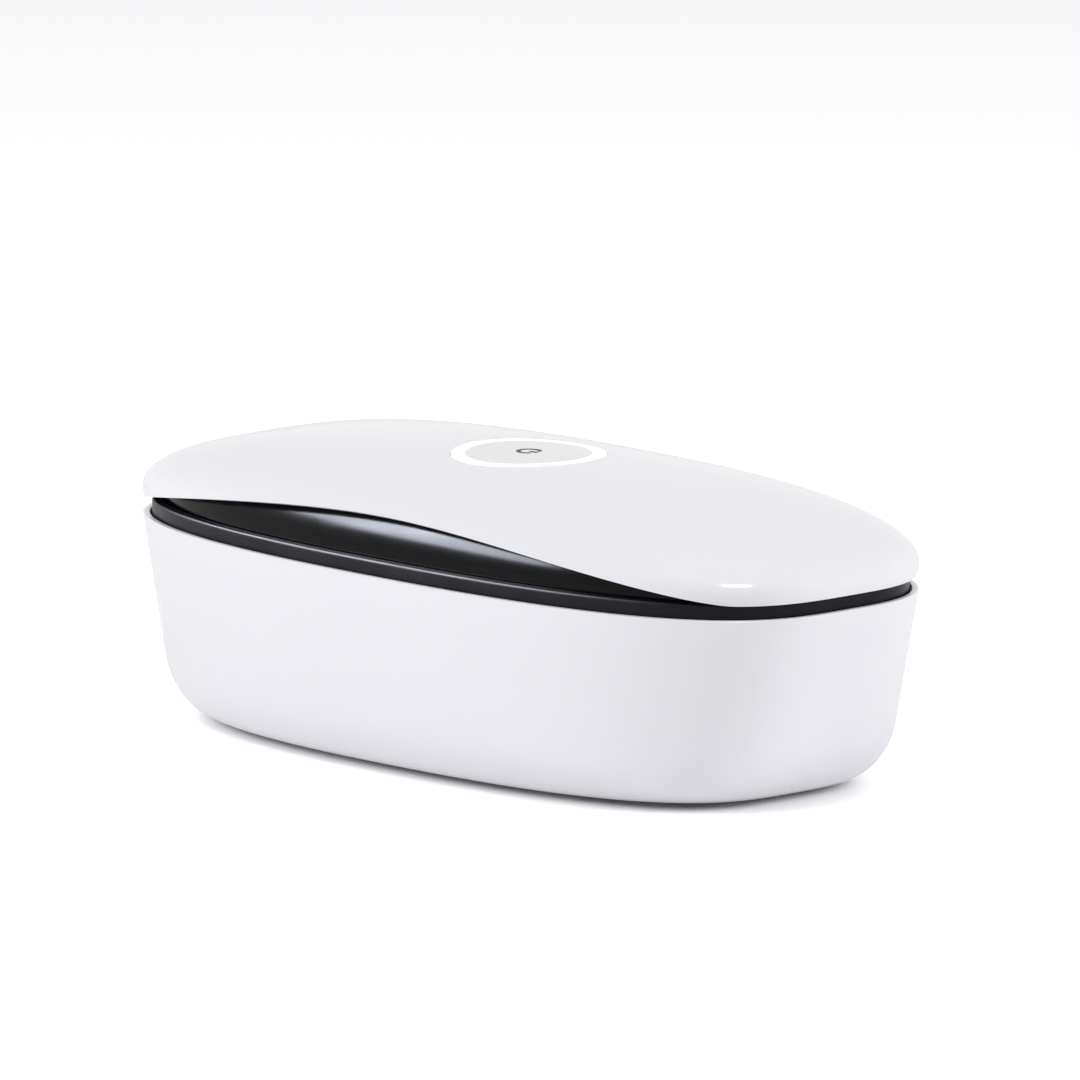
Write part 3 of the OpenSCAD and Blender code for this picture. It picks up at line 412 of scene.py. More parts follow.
def pan_head_screws(name, node, body, seats, shank_length):
    """Cross-head screws with their heads down, on the seats of a CAD node's screws, in mm."""
    tree, given = layout_tree(name + "_layout", (
        "Head radius", "Head height", "Shank radius", "Shank length", "Slot width"))
    head = add_node(tree, "GeometryNodeMeshCylinder", None, {
        "Vertices": 40, "Side Segments": 4, "Fill Segments": 5, "Radius": given["Head radius"],
        "Depth": given["Head height"]}).outputs["Mesh"]
    # Dome of the head: the further a point lies from the axis, the lower it sits
    spot = add_node(tree, "ShaderNodeSeparateXYZ", None,
                    {0: add_node(tree, "GeometryNodeInputPosition").outputs[0]}).outputs
    x_share, y_share = [add_node(tree, "ShaderNodeMath", {"operation": "DIVIDE"},
                                 {0: spot[axis], 1: given["Head radius"]}).outputs[0] for axis in "XY"]
    far = add_node(tree, "ShaderNodeMath", {"operation": "MULTIPLY"}, {0: x_share, 1: x_share})
    far = add_node(tree, "ShaderNodeMath", {"operation": "MULTIPLY_ADD"},
                   {0: y_share, 1: y_share, 2: far.outputs[0]})
    far = add_node(tree, "ShaderNodeMath", {"operation": "POWER"}, {0: far.outputs[0], 1: fall_power})
    keep = add_node(tree, "ShaderNodeMath", {"operation": "MULTIPLY_ADD"},
                    {0: far.outputs[0], 1: -head_fall, 2: 1.0})
    half = add_node(tree, "ShaderNodeMath", {"operation": "MULTIPLY"}, {0: given["Head height"], 1: 0.5})
    over_seat = add_node(tree, "ShaderNodeMath", {"operation": "ADD"}, {0: spot["Z"], 1: half.outputs[0]})
    height = add_node(tree, "ShaderNodeMath", {"operation": "MULTIPLY"},
                      {0: over_seat.outputs[0], 1: keep.outputs[0]})
    domed = add_node(tree, "GeometryNodeSetPosition", None, {
        "Geometry": head, "Position": add_node(tree, "ShaderNodeCombineXYZ", None, {
            "X": spot["X"], "Y": spot["Y"], "Z": height.outputs[0]}).outputs[0]}).outputs[0]
    # Cross recess: two bars sunk into the dome
    reach = add_node(tree, "ShaderNodeMath", {"operation": "MULTIPLY"},
                     {0: given["Head radius"], 1: slot_reach})
    cut = add_node(tree, "GeometryNodeMeshBoolean", {"operation": "DIFFERENCE"}, {"Mesh 1": domed})
    for wide, deep in ((reach.outputs[0], given["Slot width"]), (given["Slot width"], reach.outputs[0])):
        size = add_node(tree, "ShaderNodeCombineXYZ", None, {"X": wide, "Y": deep, "Z": given["Head height"]})
        bar = add_node(tree, "GeometryNodeMeshCube", None, {"Size": size.outputs[0]}).outputs["Mesh"]
        bar = add_node(tree, "GeometryNodeTransform", None, {
            "Geometry": bar, "Translation": add_node(tree, "ShaderNodeCombineXYZ", None, {
                "Z": given["Head height"]}).outputs[0]})
        tree.links.new(bar.outputs[0], cut.inputs["Mesh 2"])
    shank = add_node(tree, "GeometryNodeMeshCylinder", None, {
        "Vertices": 24, "Radius": given["Shank radius"], "Depth": given["Shank length"]}).outputs["Mesh"]
    drop = add_node(tree, "ShaderNodeMath", {"operation": "MULTIPLY"}, {0: given["Shank length"], 1: -0.5})
    shank = add_node(tree, "GeometryNodeTransform", None, {
        "Geometry": shank, "Translation": add_node(tree, "ShaderNodeCombineXYZ", None, {
            "Z": drop.outputs[0]}).outputs[0]}).outputs[0]
    screw = add_node(tree, "GeometryNodeJoinGeometry")
    tree.links.new(cut.outputs["Mesh"], screw.inputs[0])
    tree.links.new(shank, screw.inputs[0])
    placed = add_node(tree, "GeometryNodeInstanceOnPoints", None, {
        "Points": given["Geometry"], "Instance": screw.outputs[0], "Rotation": (math.pi, 0.0, 0.0)})
    real = add_node(tree, "GeometryNodeRealizeInstances", None, {"Geometry": placed.outputs[0]})
    metal = add_node(tree, "GeometryNodeSetMaterial", None,
                     {"Geometry": real.outputs[0], "Material": zinc_steel})
    add_node(tree, "NodeGroupOutput", None, {"Geometry": metal.outputs[0]})

    points = bmesh.new()
    for seat in seats:
        points.verts.new([c * MM for c in seat])
    made = lay_out(name, tree, mesh_data(name + "_seats", points), {
        "Head radius": head_radius * MM, "Head height": head_height * MM, "Shank radius": shank_radius * MM,
        "Shank length": shank_length * MM, "Slot width": slot_width * MM})
    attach(made, body)
    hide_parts(node)


bottom_screw_low, bottom_screw_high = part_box("bottom_screws")
screw_x = bottom_screw_high.x / MM - head_radius
screw_y = bottom_screw_high.y / MM - head_radius
head_seat = bottom_screw_low.z / MM + head_height
pan_head_screws("bottom_cover_screws", "bottom_screws", "base",
                [(sx * screw_x, sy * screw_y, head_seat) for sx in (-1, 1) for sy in (-1, 1)],
                bottom_screw_high.z / MM - head_seat)


# Tub. One deep moulding of polished white ABS: an oval that narrows towards its foot, with a step in its rim
# for the black frame and cut-outs at the back for hinge and plug. The polish leaves a long ripple.
case_l = 230
case_w = 110
case_h = 75
end_power = 2.45
side_power = 3.2
tub_h = 50.4
tub_wall = 2.4
end_draft = 12.5
side_draft = 0.5
round_w = 9.5
round_h = 14
foot_gap = 1.5
bottom_flange = 2
rim_lip = 1.7
rim_step = 2
rim_bead = 4.2
bead_height = 3
bead_slope = 1.8
bend_steps = 10
columns = 320
column_shift = 5.7

column_turn = np.arange(columns) * 360 / columns
column_angle = np.radians(column_turn - column_shift * np.sin(np.radians(4 * column_turn)))
unit_x = np.sign(np.cos(column_angle)) * np.abs(np.cos(column_angle)) ** (2 / end_power)
unit_y = np.sign(np.sin(column_angle)) * np.abs(np.sin(column_angle)) ** (2 / side_power)


def oval(half_length, half_depth, height):
    """A level ring of points round the case's oval, in mm."""
    return np.stack([half_length * unit_x, half_depth * unit_y, np.broadcast_to(height, columns)], axis=1)


def tub_ring(outline_height, inset, height):
    """The tub's outline at one height, drawn in by an inset and laid at another height."""
    down = max(0, (tub_h - outline_height) / (tub_h - foot_gap))
    low = (foot_gap + round_h - outline_height) / round_h
    curl = round_w * (1 - math.sqrt(max(0, 1 - low ** 2))) if low > 0 else 0
    return oval(case_l / 2 - end_draft * down - curl - inset,
                case_w / 2 - side_draft * down - curl - inset, height)


def round_corners(rings, radii, steps=4):
    """Rounds the edge at each ring that radii names, by that many mm, and keeps the other rings."""
    done = []
    for j, ring in enumerate(rings):
        radius = radii.get(j)
        if radius is None:
            done.append(ring)
            continue
        arms = [rings[j - 1] - ring, rings[(j + 1) % len(rings)] - ring]
        lengths = [np.linalg.norm(arm, axis=1, keepdims=True) for arm in arms]
        arms = [arm / length for arm, length in zip(arms, lengths)]
        bend = np.arccos(np.clip(np.sum(arms[0] * arms[1], axis=1, keepdims=True), -1, 1))
        reach = np.minimum(radius / np.tan(bend / 2), 0.45 * np.minimum(*lengths))
        for k in range(steps + 1):
            t = k / steps
            done.append(ring + (1 - t) ** 2 * reach * arms[0] + t ** 2 * reach * arms[1])
    return done


def skin(name, rings, body, material, looped=True):
    """A closed skin over rings of points in mm. A looped skin joins its last ring to its first."""
    mesh = bmesh.new()
    grid = [[mesh.verts.new(point * MM) for point in ring] for ring in rings]
    count = len(grid[0])
    for j in range(len(grid) if looped else len(grid) - 1):
        here, after = grid[j], grid[(j + 1) % len(grid)]
        for i in range(count):
            mesh.faces.new((here[i], here[(i + 1) % count], after[(i + 1) % count], after[i]))
    if not looped:
        mesh.faces.new(list(reversed(grid[0])))
        mesh.faces.new(grid[-1])
    return finish_mesh(name, mesh, body, material)


def box_mesh(low, high):
    """A box between two corners in mm, as a bmesh."""
    box = bmesh.new()
    bmesh.ops.create_cube(box, size=1)
    for vert in box.verts:
        vert.co = [(l + (c + 0.5) * (h - l)) * MM for c, l, h in zip(vert.co, low, high)]
    return box


def cut_out(piece, low, high):
    """Cuts the box between two corners in mm out of a piece."""
    cutter = add_object("cutter", mesh_data("cutter", box_mesh(low, high)))
    cut = piece.modifiers.new("cut", "BOOLEAN")
    cut.object = cutter
    cut.solver = "EXACT"
    graph = bpy.context.evaluated_depsgraph_get()
    old = piece.data
    piece.data = bpy.data.meshes.new_from_object(piece.evaluated_get(graph))
    piece.data.name = old.name
    piece.modifiers.clear()
    bpy.data.objects.remove(cutter)
    piece.data.set_sharp_from_angle(angle=sharp_angle)


seat_z = tub_h - rim_step
bend_angles = [math.radians(90 * q / bend_steps) for q in range(bend_steps + 1)]
foot_bend = [foot_gap + round_h * (1 - math.sin(angle)) for angle in bend_angles]
side_heights = [tub_h - 8, tub_h - 18, foot_gap + round_h + 8]
outside = [tub_ring(tub_h, 0, tub_h)] + [tub_ring(z, 0, z) for z in side_heights + foot_bend]
outside.append(tub_ring(foot_gap, bottom_flange, foot_gap))
flange_floor = foot_gap + tub_wall
inside = [tub_ring(foot_gap, bottom_flange, flange_floor)]
for q in range(bend_steps - 2, 0, -1):
    height = foot_bend[q] + tub_wall * math.sin(bend_angles[q])
    inside.append(tub_ring(foot_bend[q], tub_wall * math.cos(bend_angles[q]), max(flange_floor, height)))
inside += [tub_ring(foot_bend[0], tub_wall, foot_bend[0])]
inside += [tub_ring(z, inset, z) for inset, z in (
    (tub_wall, seat_z - bead_height - bead_slope), (rim_bead, seat_z - bead_height), (rim_bead, seat_z),
    (rim_lip, seat_z), (rim_lip, tub_h))]
tub_rings = outside + inside
tub_edges = {0: 0.5, len(outside) - 2: 0.3, len(outside) - 1: 0.3, len(tub_rings) - 1: 0.4}
# Polished mould: the ripple is the long soft wave of a moulded gloss face
polished_white_abs = moulded_abs("polished_white_abs", "#eeeef3", 0.14, 9.0, 0.012, 0.006)
tub = skin("tub_moulding", round_corners(tub_rings, tub_edges), "base", polished_white_abs)

notch_play = 0.5
notch_y = 48.0
notch_z = 45.7
tongue_half = 20.5
tongue_drop = 7
tongue_sunk = 1.4
plug_half = 5.5
plug_play = 0.7
plug_depth = 4
hinge_low, hinge_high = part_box("hinge_base")
socket_low, socket_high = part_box("usb_socket")
notch_half = hinge_high.x / MM + notch_play
cut_out(tub, (-notch_half, notch_y, notch_z), (notch_half, case_w, tub_h + 1))
cut_out(tub, (-tongue_half, notch_y, notch_z - tongue_drop),
        (tongue_half, hinge_low.y / MM + tongue_sunk, notch_z + notch_play))
cut_out(tub, (-plug_half, socket_high.y / MM - plug_depth, socket_low.z / MM - plug_play),
        (plug_half, case_w, socket_high.z / MM + plug_play))
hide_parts("tub_shell")


# Inner parts of the base. The carrier plate, the foil cell with its two straps, the main board with its
# parts, and the leads are closed in under the tray, so the CAD solids are kept and only get their finish.
foil_pouch = plain_finish("laminated_foil_pouch", "#aab4bf", "#c3cbd3", 0.38, 6, metallic=0.8, bump_mm=0.05)
solder_mask = plain_finish("green_solder_mask", "#0f4a2a", "#17603a", 0.35, 3, bump_mm=0.01)
moulded_epoxy = plain_finish("moulded_epoxy", "#161617", "#222224", 0.6, 1, bump_mm=0.01)
red_silicone = plain_finish("red_silicone_insulation", "#a21b17", "#b7251f", 0.5, 2)
yellow_silicone = plain_finish("yellow_silicone_insulation", "#c9a53b", "#d8b64a", 0.5, 2)
nickel_magnet = plain_finish("nickel_plated_magnet", "#b9babd", "#cccccf", 0.25, 3, metallic=1.0)
finish_node("chassis", matt_white_abs, 0.2)
finish_node("battery", foil_pouch)
finish_node("battery_clips", matt_white_abs, 0.2)
finish_node("battery_lead", red_silicone)
finish_node("main_board", solder_mask)
finish_node("board_chips", moulded_epoxy, 0.1)
finish_node("board_screws", zinc_steel, 0.15)


# Charging socket. A drawn shell of nickel-plated steel with round ends round a black tongue with gold
# contacts. It is soldered to the main board, and its mouth stands in the cut-out at the tub's back.
socket_wall = 0.35
socket_depth = 1.2
mouth_edge = 0.12
tongue_wide = 5.8
tongue_thick = 0.7
tongue_edge = 0.1
contact_count = 10
contact_pitch = 0.5
contact_size = (0.25, 3.2, 0.06)
contact_back = 3.4


def slot_outline(wide, high, steps=12):
    """Points of a flat shape with round ends, in mm."""
    radius = high / 2
    points = []
    for end, start in ((1, -90), (-1, 90)):
        points += [(end * (wide / 2 - radius) + radius * math.cos(math.radians(start + 180 * k / steps)),
                    radius * math.sin(math.radians(start + 180 * k / steps))) for k in range(steps + 1)]
    return points


socket_mid = (socket_low.z + socket_high.z) / 2 / MM
socket_wide = (socket_high.x - socket_low.x) / MM
socket_tall = (socket_high.z - socket_low.z) / MM
socket_front = socket_high.y / MM
socket_back = socket_low.y / MM
stations = [(socket_back, 0), (socket_front - mouth_edge, 0), (socket_front, mouth_edge),
            (socket_front, socket_wall - 0.1), (socket_front - 0.15, socket_wall),
            (socket_back + socket_depth, socket_wall)]
rings = [np.array([(x, depth, socket_mid + z)
                   for x, z in slot_outline(socket_wide - 2 * inset, socket_tall - 2 * inset)])
         for depth, inset in stations]
nickel_shell = plain_finish("nickel_plated_shell", "#b4b5b8", "#c4c5c8", 0.28, 2, metallic=1.0)
socket = skin("charging_socket_shell", rings, "base", nickel_shell, looped=False)
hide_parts("usb_socket")
tongue = box_mesh((-tongue_wide / 2, socket_back + socket_depth, socket_mid - tongue_thick / 2),
                  (tongue_wide / 2, socket_front - socket_depth, socket_mid + tongue_thick / 2))
bmesh.ops.bevel(tongue, geom=tongue.edges[:], offset=tongue_edge * MM, segments=2, affect="EDGES",
                profile=0.5)
tongue = finish_mesh("charging_socket_tongue", tongue, "base", moulded_epoxy)
gold_plate = plain_finish("gold_plated_contacts", "#d3a94a", "#e0bb62", 0.25, 1, metallic=1.0)
contacts = bmesh.new()
for side in (-1, 1):
    for k in range(contact_count):
        spot = ((k - (contact_count - 1) / 2) * contact_pitch, socket_front - contact_back,
                socket_mid + side * tongue_thick / 2)
        for vert in bmesh.ops.create_cube(contacts, size=1)["verts"]:
            vert.co = [(at + c * size) * MM for at, c, size in zip(spot, vert.co, contact_size)]
contacts = finish_mesh("charging_socket_contacts", contacts, "base", gold_plate)


# Tray. A thin tub-shaped liner that is vacuum-plated bright, laid on the bead inside the rim. Its deep
# rounding throws the lamps' light back on the pacifiers. The plating carries the mould's faint waves.
tray_floor = 21.5
tray_wall = 1.2
tray_in = 6.8
tray_round = 10
tray_reach = rim_bead + 0.3
round_steps = 12

bright_plating = plain_finish("vacuum_plated_abs", "#c6c8cd", "#d2d4d8", 0.13, 14, 1.0, 0.012)
bend = [math.radians(90 * q / round_steps) for q in range(round_steps + 1)]
arc_height = tray_floor + tray_round
out_round = tray_round + tray_wall
tray_inside = [tub_ring(arc_height, tray_in + tray_wall + tray_round * (1 - math.cos(a)),
                        tray_floor + tray_round * (1 - math.sin(a))) for a in reversed(bend)]
tray_lip = [tub_ring(seat_z, tray_in + tray_wall, seat_z), tub_ring(seat_z, tray_reach, seat_z),
            tub_ring(seat_z, tray_reach, seat_z - tray_wall), tub_ring(seat_z, tray_in, seat_z - tray_wall)]
tray_outside = [tub_ring(arc_height, tray_in + out_round * (1 - math.cos(a)),
                         arc_height - out_round * math.sin(a)) for a in bend]
first_lip = len(tray_inside)
tray_rings = round_corners(tray_inside + tray_lip + tray_outside, {first_lip: 0.5, first_lip + 1: 0.2})
tray = skin("plated_tray", tray_rings, "base", bright_plating, looped=False)
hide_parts("liner_tray")


# Rim frame. A ring of satin black ABS, pressed into the step of the tub's rim. Its wall stands up round the
# chamber with a well rounded outer edge, and its ledge carries the lid's seal.
frame_in = 2.2
frame_top_w = 2.2
frame_rise = 3.8
ledge_in = frame_in + frame_top_w + 3.6
ledge_z = seat_z + 1.6
frame_top_z = tub_h + frame_rise
frame_outer_edge = 1.0
frame_edge = 0.4

satin_black_abs = moulded_abs("satin_black_abs", "#110f17", 0.34, 9.0, 0.012, 0.1, shine=0.14)


def rim_ring(inset, height):
    """Level ring that runs a fixed inset inside the case's widest outline, in mm."""
    return oval(case_l / 2 - inset, case_w / 2 - inset, height)


frame_rings = [rim_ring(frame_in, seat_z), rim_ring(frame_in, tub_h), rim_ring(frame_in, frame_top_z),
               rim_ring(frame_in + frame_top_w, frame_top_z), rim_ring(frame_in + frame_top_w, ledge_z),
               rim_ring(ledge_in, ledge_z), rim_ring(ledge_in, seat_z)]
frame_edges = {2: frame_outer_edge, 3: frame_edge, 4: frame_edge, 5: frame_edge}
rim = skin("rim_frame_ring", round_corners(frame_rings, frame_edges), "base", satin_black_abs)
cut_out(rim, (-notch_half, notch_y, seat_z - 1), (notch_half, case_w, frame_top_z + 1))
black_parts.objects.link(rim)
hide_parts("rim_frame")


# Catch and lid sensor. A nickel-plated magnet and a small board with a magnetic switch, glued to the tray's
# outside under the front ledge, with the sensor's lead.
finish_node("base_magnet", nickel_magnet, 0.3)
finish_node("lid_sensor", solder_mask)
finish_node("sensor_lead", yellow_silicone)


# Hinge. Black glass-filled nylon: a bracket with two knuckles in the tub's back, and the lid's leaf with the
# middle knuckle, on a steel pin. The filled nylon is dull with a fine grain.
dull_black_nylon = moulded_abs("glass_filled_black_nylon", "#1d1d20", 0.45, 0.6, 0.015, 0.1)
ground_steel = plain_finish("ground_steel_pin", "#9a9ca0", "#acaeb2", 0.3, 1, metallic=1.0)
finish_node("hinge_base", dull_black_nylon, 0.3)
finish_node("hinge_screws", zinc_steel, 0.15)
finish_node("hinge_pin", ground_steel, 0.2)
finish_node("lid_hinge", dull_black_nylon, 0.3)
finish_node("lid_hinge_screws", zinc_steel, 0.15)


# Inner frame of the lid. Polished black ABS whose wall leans in as it rises to the underside of the cover, so
# that fingers find room under the arch. A flange inside carries the panel, and a soft seal lies under it.
skirt_in = 5
skirt_wall = 1.8
skirt_z = tub_h + 0.5
lean = 3
lean_power = 2.2
flange_w = 4.2
flange_z = skirt_z + 1.2
flange_top_z = flange_z + 1.8
wall_z = frame_top_z - 0.2
cover_gap = 0.6
lid_wall = 2
belly_z = tub_h + 3.5 + 2.8
dome_h = case_h - belly_z
dome_plan_power = 2.3
dome_height_power = 2.1
dome_passes = 10
wall_steps = 12
wall_edge = 0.4
frame_notch_top = 57.2


def dome_z(x, y, wall=0):
    """Height of the dome over a point, on the outer skin or on one that lies a wall deeper."""
    half_x, half_y = case_l / 2 - wall, case_w / 2 - wall
    share = np.ones_like(x)
    for _ in range(dome_passes):
        share = share * ((np.abs(x) / (half_x * share)) ** end_power
                         + (np.abs(y) / (half_y * share)) ** side_power) ** (2 / (end_power + side_power))
    return belly_z + (dome_h - wall) * np.maximum(0, 1 - share ** dome_plan_power) ** (1 / dome_height_power)


def wall_ring(share, wall):
    """Ring of the inner frame's wall, a share of the way up to the cover."""
    top = dome_z((case_l / 2 - skirt_in - lean) * unit_x, (case_w / 2 - skirt_in - lean) * unit_y, lid_wall)
    top = top - cover_gap
    inset = skirt_in + wall + lean * share ** lean_power
    return oval(case_l / 2 - inset, case_w / 2 - inset, wall_z + share * (top - wall_z))


rises = [k / wall_steps for k in range(wall_steps + 1)]
wall_rings = [wall_ring(share, 0) for share in reversed(rises)] + [rim_ring(skirt_in, skirt_z)]
wall_rings += [rim_ring(skirt_in + inset, z) for inset, z in (
    (skirt_wall, skirt_z), (skirt_wall, flange_z), (skirt_wall + flange_w, flange_z),
    (skirt_wall + flange_w, flange_top_z), (skirt_wall, flange_top_z))]
wall_rings += [wall_ring(share, skirt_wall) for share in rises[1:]]
skirt_ring = wall_steps + 1
wall_rings = round_corners(wall_rings, {skirt_ring: wall_edge, skirt_ring + 1: wall_edge})
polished_black_abs = moulded_abs("polished_black_abs", "#060609", 0.17, 9.0, 0.012, 0.1, shine=0.1)
inner_frame = skin("lid_inner_frame", wall_rings, "lid", polished_black_abs)
cut_out(inner_frame, (-notch_half, case_w / 2 - skirt_in - skirt_wall - 0.2, skirt_z - 1),
        (notch_half, case_w, frame_notch_top))
black_parts.objects.link(inner_frame)
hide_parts("lid_frame")
finish_node("lid_seal", soft_rubber)
finish_node("lid_magnet", nickel_magnet, 0.3)


# Reflector panel and window. A bright plated panel closes the lid from below, and a strip of clear quartz
# lies on it over the lamp opening, between two rails.
smear_mm = 20

finish_node("reflector", bright_plating, 0.3)
clear_quartz, tree, place = new_material("fused_quartz")
smear = add_node(tree, "ShaderNodeTexNoise", None, {"Vector": place, "Scale": 1000 / smear_mm, "Detail": 3.0})
rough = add_node(tree, "ShaderNodeMapRange", None, {"Value": smear.outputs["Fac"], "To Max": 0.06})
shader = add_node(tree, "ShaderNodeBsdfPrincipled", None, {
    "Base Color": linear("#f3f8fb"), "Roughness": rough.outputs[0], "IOR": 1.46, "Transmission Weight": 1.0})
add_node(tree, "ShaderNodeOutputMaterial", None, {"Surface": shader.outputs[0]})
finish_node("uv_window", clear_quartz, 0.15)


# Lamp board. A white board with an aluminium core on two posts, with a row of ten lamps: each a white ceramic
# package with a small clear dome over a yellow chip, soldered in reflow at one pitch.
white_mask = plain_finish("white_solder_mask", "#e6e6e2", "#eeeeea", 0.3, 3, bump_mm=0.01)
lamp_ceramic = plain_finish("alumina_ceramic", "#e9e5d2", "#f1eddc", 0.55, 1, bump_mm=0.01)
lamp_dome = plain_finish("silicone_dome_over_chip", "#d8c35a", "#e6d372", 0.15, 1, ior=1.41)
finish_node("uv_board", white_mask)
finish_node("uv_board_screws", zinc_steel, 0.15)

lamp_low, lamp_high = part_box("uv_lamps")
lamp_count = 10
lamp_size = 3.5
lamp_rim = 0.4
package_height = 0.8
lamp_pitch = ((lamp_high.x - lamp_low.x) / MM - lamp_size) / (lamp_count - 1)
dome_radius = lamp_size / 2 - lamp_rim
dome_height = (lamp_high.z - lamp_low.z) / MM - package_height

tree, given = layout_tree("lamp_row", (
    "Pitch", "Package size", "Package height", "Dome radius", "Dome height"), ("Lamp count",))
size = add_node(tree, "ShaderNodeCombineXYZ", None, {
    "X": given["Package size"], "Y": given["Package size"], "Z": given["Package height"]})
package = add_node(tree, "GeometryNodeMeshCube", None, {"Size": size.outputs[0]}).outputs["Mesh"]
package = add_node(tree, "GeometryNodeSetMaterial", None, {"Geometry": package, "Material": lamp_ceramic})
ball = add_node(tree, "GeometryNodeMeshUVSphere")
under = add_node(tree, "ShaderNodeMath", {"operation": "MULTIPLY"}, {0: given["Package height"], 1: -0.5})
dome = add_node(tree, "GeometryNodeTransform", None, {
    "Geometry": ball.outputs["Mesh"],
    "Translation": add_node(tree, "ShaderNodeCombineXYZ", None, {"Z": under.outputs[0]}).outputs[0],
    "Scale": add_node(tree, "ShaderNodeCombineXYZ", None, {
        "X": given["Dome radius"], "Y": given["Dome radius"], "Z": given["Dome height"]}).outputs[0]})
dome = add_node(tree, "GeometryNodeSetMaterial", None, {"Geometry": dome.outputs[0], "Material": lamp_dome})
lamp = add_node(tree, "GeometryNodeJoinGeometry")
tree.links.new(package.outputs[0], lamp.inputs[0])
tree.links.new(dome.outputs[0], lamp.inputs[0])
line = add_node(tree, "GeometryNodeMeshLine", {"mode": "OFFSET"}, {
    "Count": given["Lamp count"],
    "Offset": add_node(tree, "ShaderNodeCombineXYZ", None, {"X": given["Pitch"]}).outputs[0]})
row = add_node(tree, "GeometryNodeInstanceOnPoints", None, {
    "Points": line.outputs[0], "Instance": lamp.outputs[0]})
real = add_node(tree, "GeometryNodeRealizeInstances", None, {"Geometry": row.outputs[0]})
add_node(tree, "NodeGroupOutput", None, {"Geometry": real.outputs[0]})

lamps = lay_out("lamp_row", tree, bpy.data.meshes.new("lamp_row_start"), {
    "Lamp count": lamp_count, "Pitch": lamp_pitch * MM, "Package size": lamp_size * MM,
    "Package height": package_height * MM, "Dome radius": dome_radius * MM, "Dome height": dome_height * MM})
first_lamp = Vector((lamp_low.x + lamp_size / 2 * MM, 0, lamp_high.z - package_height / 2 * MM))
for vert in lamps.data.vertices:
    vert.co += first_lamp
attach(lamps, "lid")
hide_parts("uv_lamps")


# Button board. A round board under the button with its switch, the lamps of the light ring, screws and leads.
# All of it is closed in between the panel and the cover.
finish_node("button_board", solder_mask)
finish_node("ring_lamps", lamp_ceramic)
finish_node("button_board_screws", zinc_steel, 0.15)
finish_node("switch_body", moulded_epoxy, 0.1)
finish_node("switch_plunger", matt_white_abs, 0.1)
finish_node("lid_lead", yellow_silicone)


# Light ring. A diffuser of milky acrylic, flush with the dome and lit evenly white from below, so that it
# reads as a bright band round the button.
hole_r = 19.6
ring_w = 3.3
button_gap = 0.25
ring_r = hole_r - button_gap
ring_in_r = ring_r - ring_w
ring_base_z = case_h - 4.6
ring_flange_z = case_h - 3.6
ring_flange_w = 2.2
ring_flange_fall = 0.2
ring_glow = 0.3
cloud_mm = 10
round_columns = 160
round_turn = np.arange(round_columns) * 2 * np.pi / round_columns


def crown(radius):
    """Ring of points on the dome, round its middle."""
    x, y = radius * np.cos(round_turn), radius * np.sin(round_turn)
    return np.stack([x, y, dome_z(x, y)], axis=1)


def level(radius, height):
    """Level ring of points round the middle, in mm."""
    x, y = radius * np.cos(round_turn), radius * np.sin(round_turn)
    return np.stack([x, y, np.full(round_columns, height)], axis=1)


milky_acrylic, tree, place = new_material("milky_acrylic_lit_from_below")
cloud = add_node(tree, "ShaderNodeTexNoise", None, {"Vector": place, "Scale": 1000 / cloud_mm, "Detail": 2.0})
tone = add_node(tree, "ShaderNodeMix", {"data_type": "RGBA"},
                {"Factor": cloud.outputs["Fac"], 6: linear("#f6f6f8"), 7: linear("#fbfbfc")})
shader = add_node(tree, "ShaderNodeBsdfPrincipled", None, {
    "Base Color": tone.outputs[2], "Roughness": 0.3, "IOR": 1.49, "Emission Color": tone.outputs[2],
    "Emission Strength": ring_glow})
add_node(tree, "ShaderNodeOutputMaterial", None, {"Surface": shader.outputs[0]})
ring_rings = [crown(ring_in_r + 0.4), crown((ring_in_r + ring_r) / 2), crown(ring_r - 0.4), crown(ring_r),
              level(ring_r, ring_flange_z), level(hole_r + ring_flange_w, ring_flange_z - ring_flange_fall),
              level(hole_r + ring_flange_w, ring_base_z), level(ring_in_r, ring_base_z), crown(ring_in_r)]
light_ring = skin("light_ring_diffuser", round_corners(ring_rings, {3: 0.2, 8: 0.2}, 3), "lid", milky_acrylic)
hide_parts("light_ring")


# Button. A cap of polished white ABS that goes on with the dome's own curve inside the light ring. A flange
# under the ring keeps it in, and a stem presses the switch. A power sign is pad-printed on it in black.
cap_r = ring_in_r - button_gap
cap_wall = 2
cap_base_z = ring_base_z - 1.4
cap_skin_z = case_h - 3.5
flange_top_gap = 0.3
flange_r = ring_in_r + 1.4
stem_r = 2.5
stem_z = cap_skin_z - 1.2

cap_rings = [crown(cap_r * share) for share in (0.02, 0.1, 0.2, 0.3, 0.4, 0.5, 0.6, 0.7, 0.8, 0.9, 0.96)]
edge = len(cap_rings)
cap_rings += [crown(cap_r), level(cap_r, ring_base_z - flange_top_gap),
              level(flange_r, ring_base_z - flange_top_gap), level(flange_r, cap_base_z),
              level(cap_r - cap_wall, cap_base_z), level(cap_r - cap_wall, cap_skin_z),
              level(stem_r, cap_skin_z), level(stem_r, stem_z)]
cap_rings = round_corners(cap_rings, {edge: 0.3})
button_white_abs = moulded_abs("polished_button_abs", "#eaeaec", 0.22, 9.0, 0.01, 0.006)
button = skin("button_cap_moulding", cap_rings, "button", button_white_abs, looped=False)
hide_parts("button_cap")

sign_r = 2.7
sign_line = 1.15
sign_open = 34
sign_thick = 0.04
sign_sunk = 0.02
sign_turn = math.radians(-90)


def dome_at(x, y):
    """Height of the dome over one point, in mm."""
    return float(dome_z(np.array([float(x)]), np.array([float(y)]))[0])


def on_dome(x, y, lift):
    """The place, in metres, of a point that lies so many mm over the dome."""
    return (x * MM, y * MM, (dome_at(x, y) + lift) * MM)


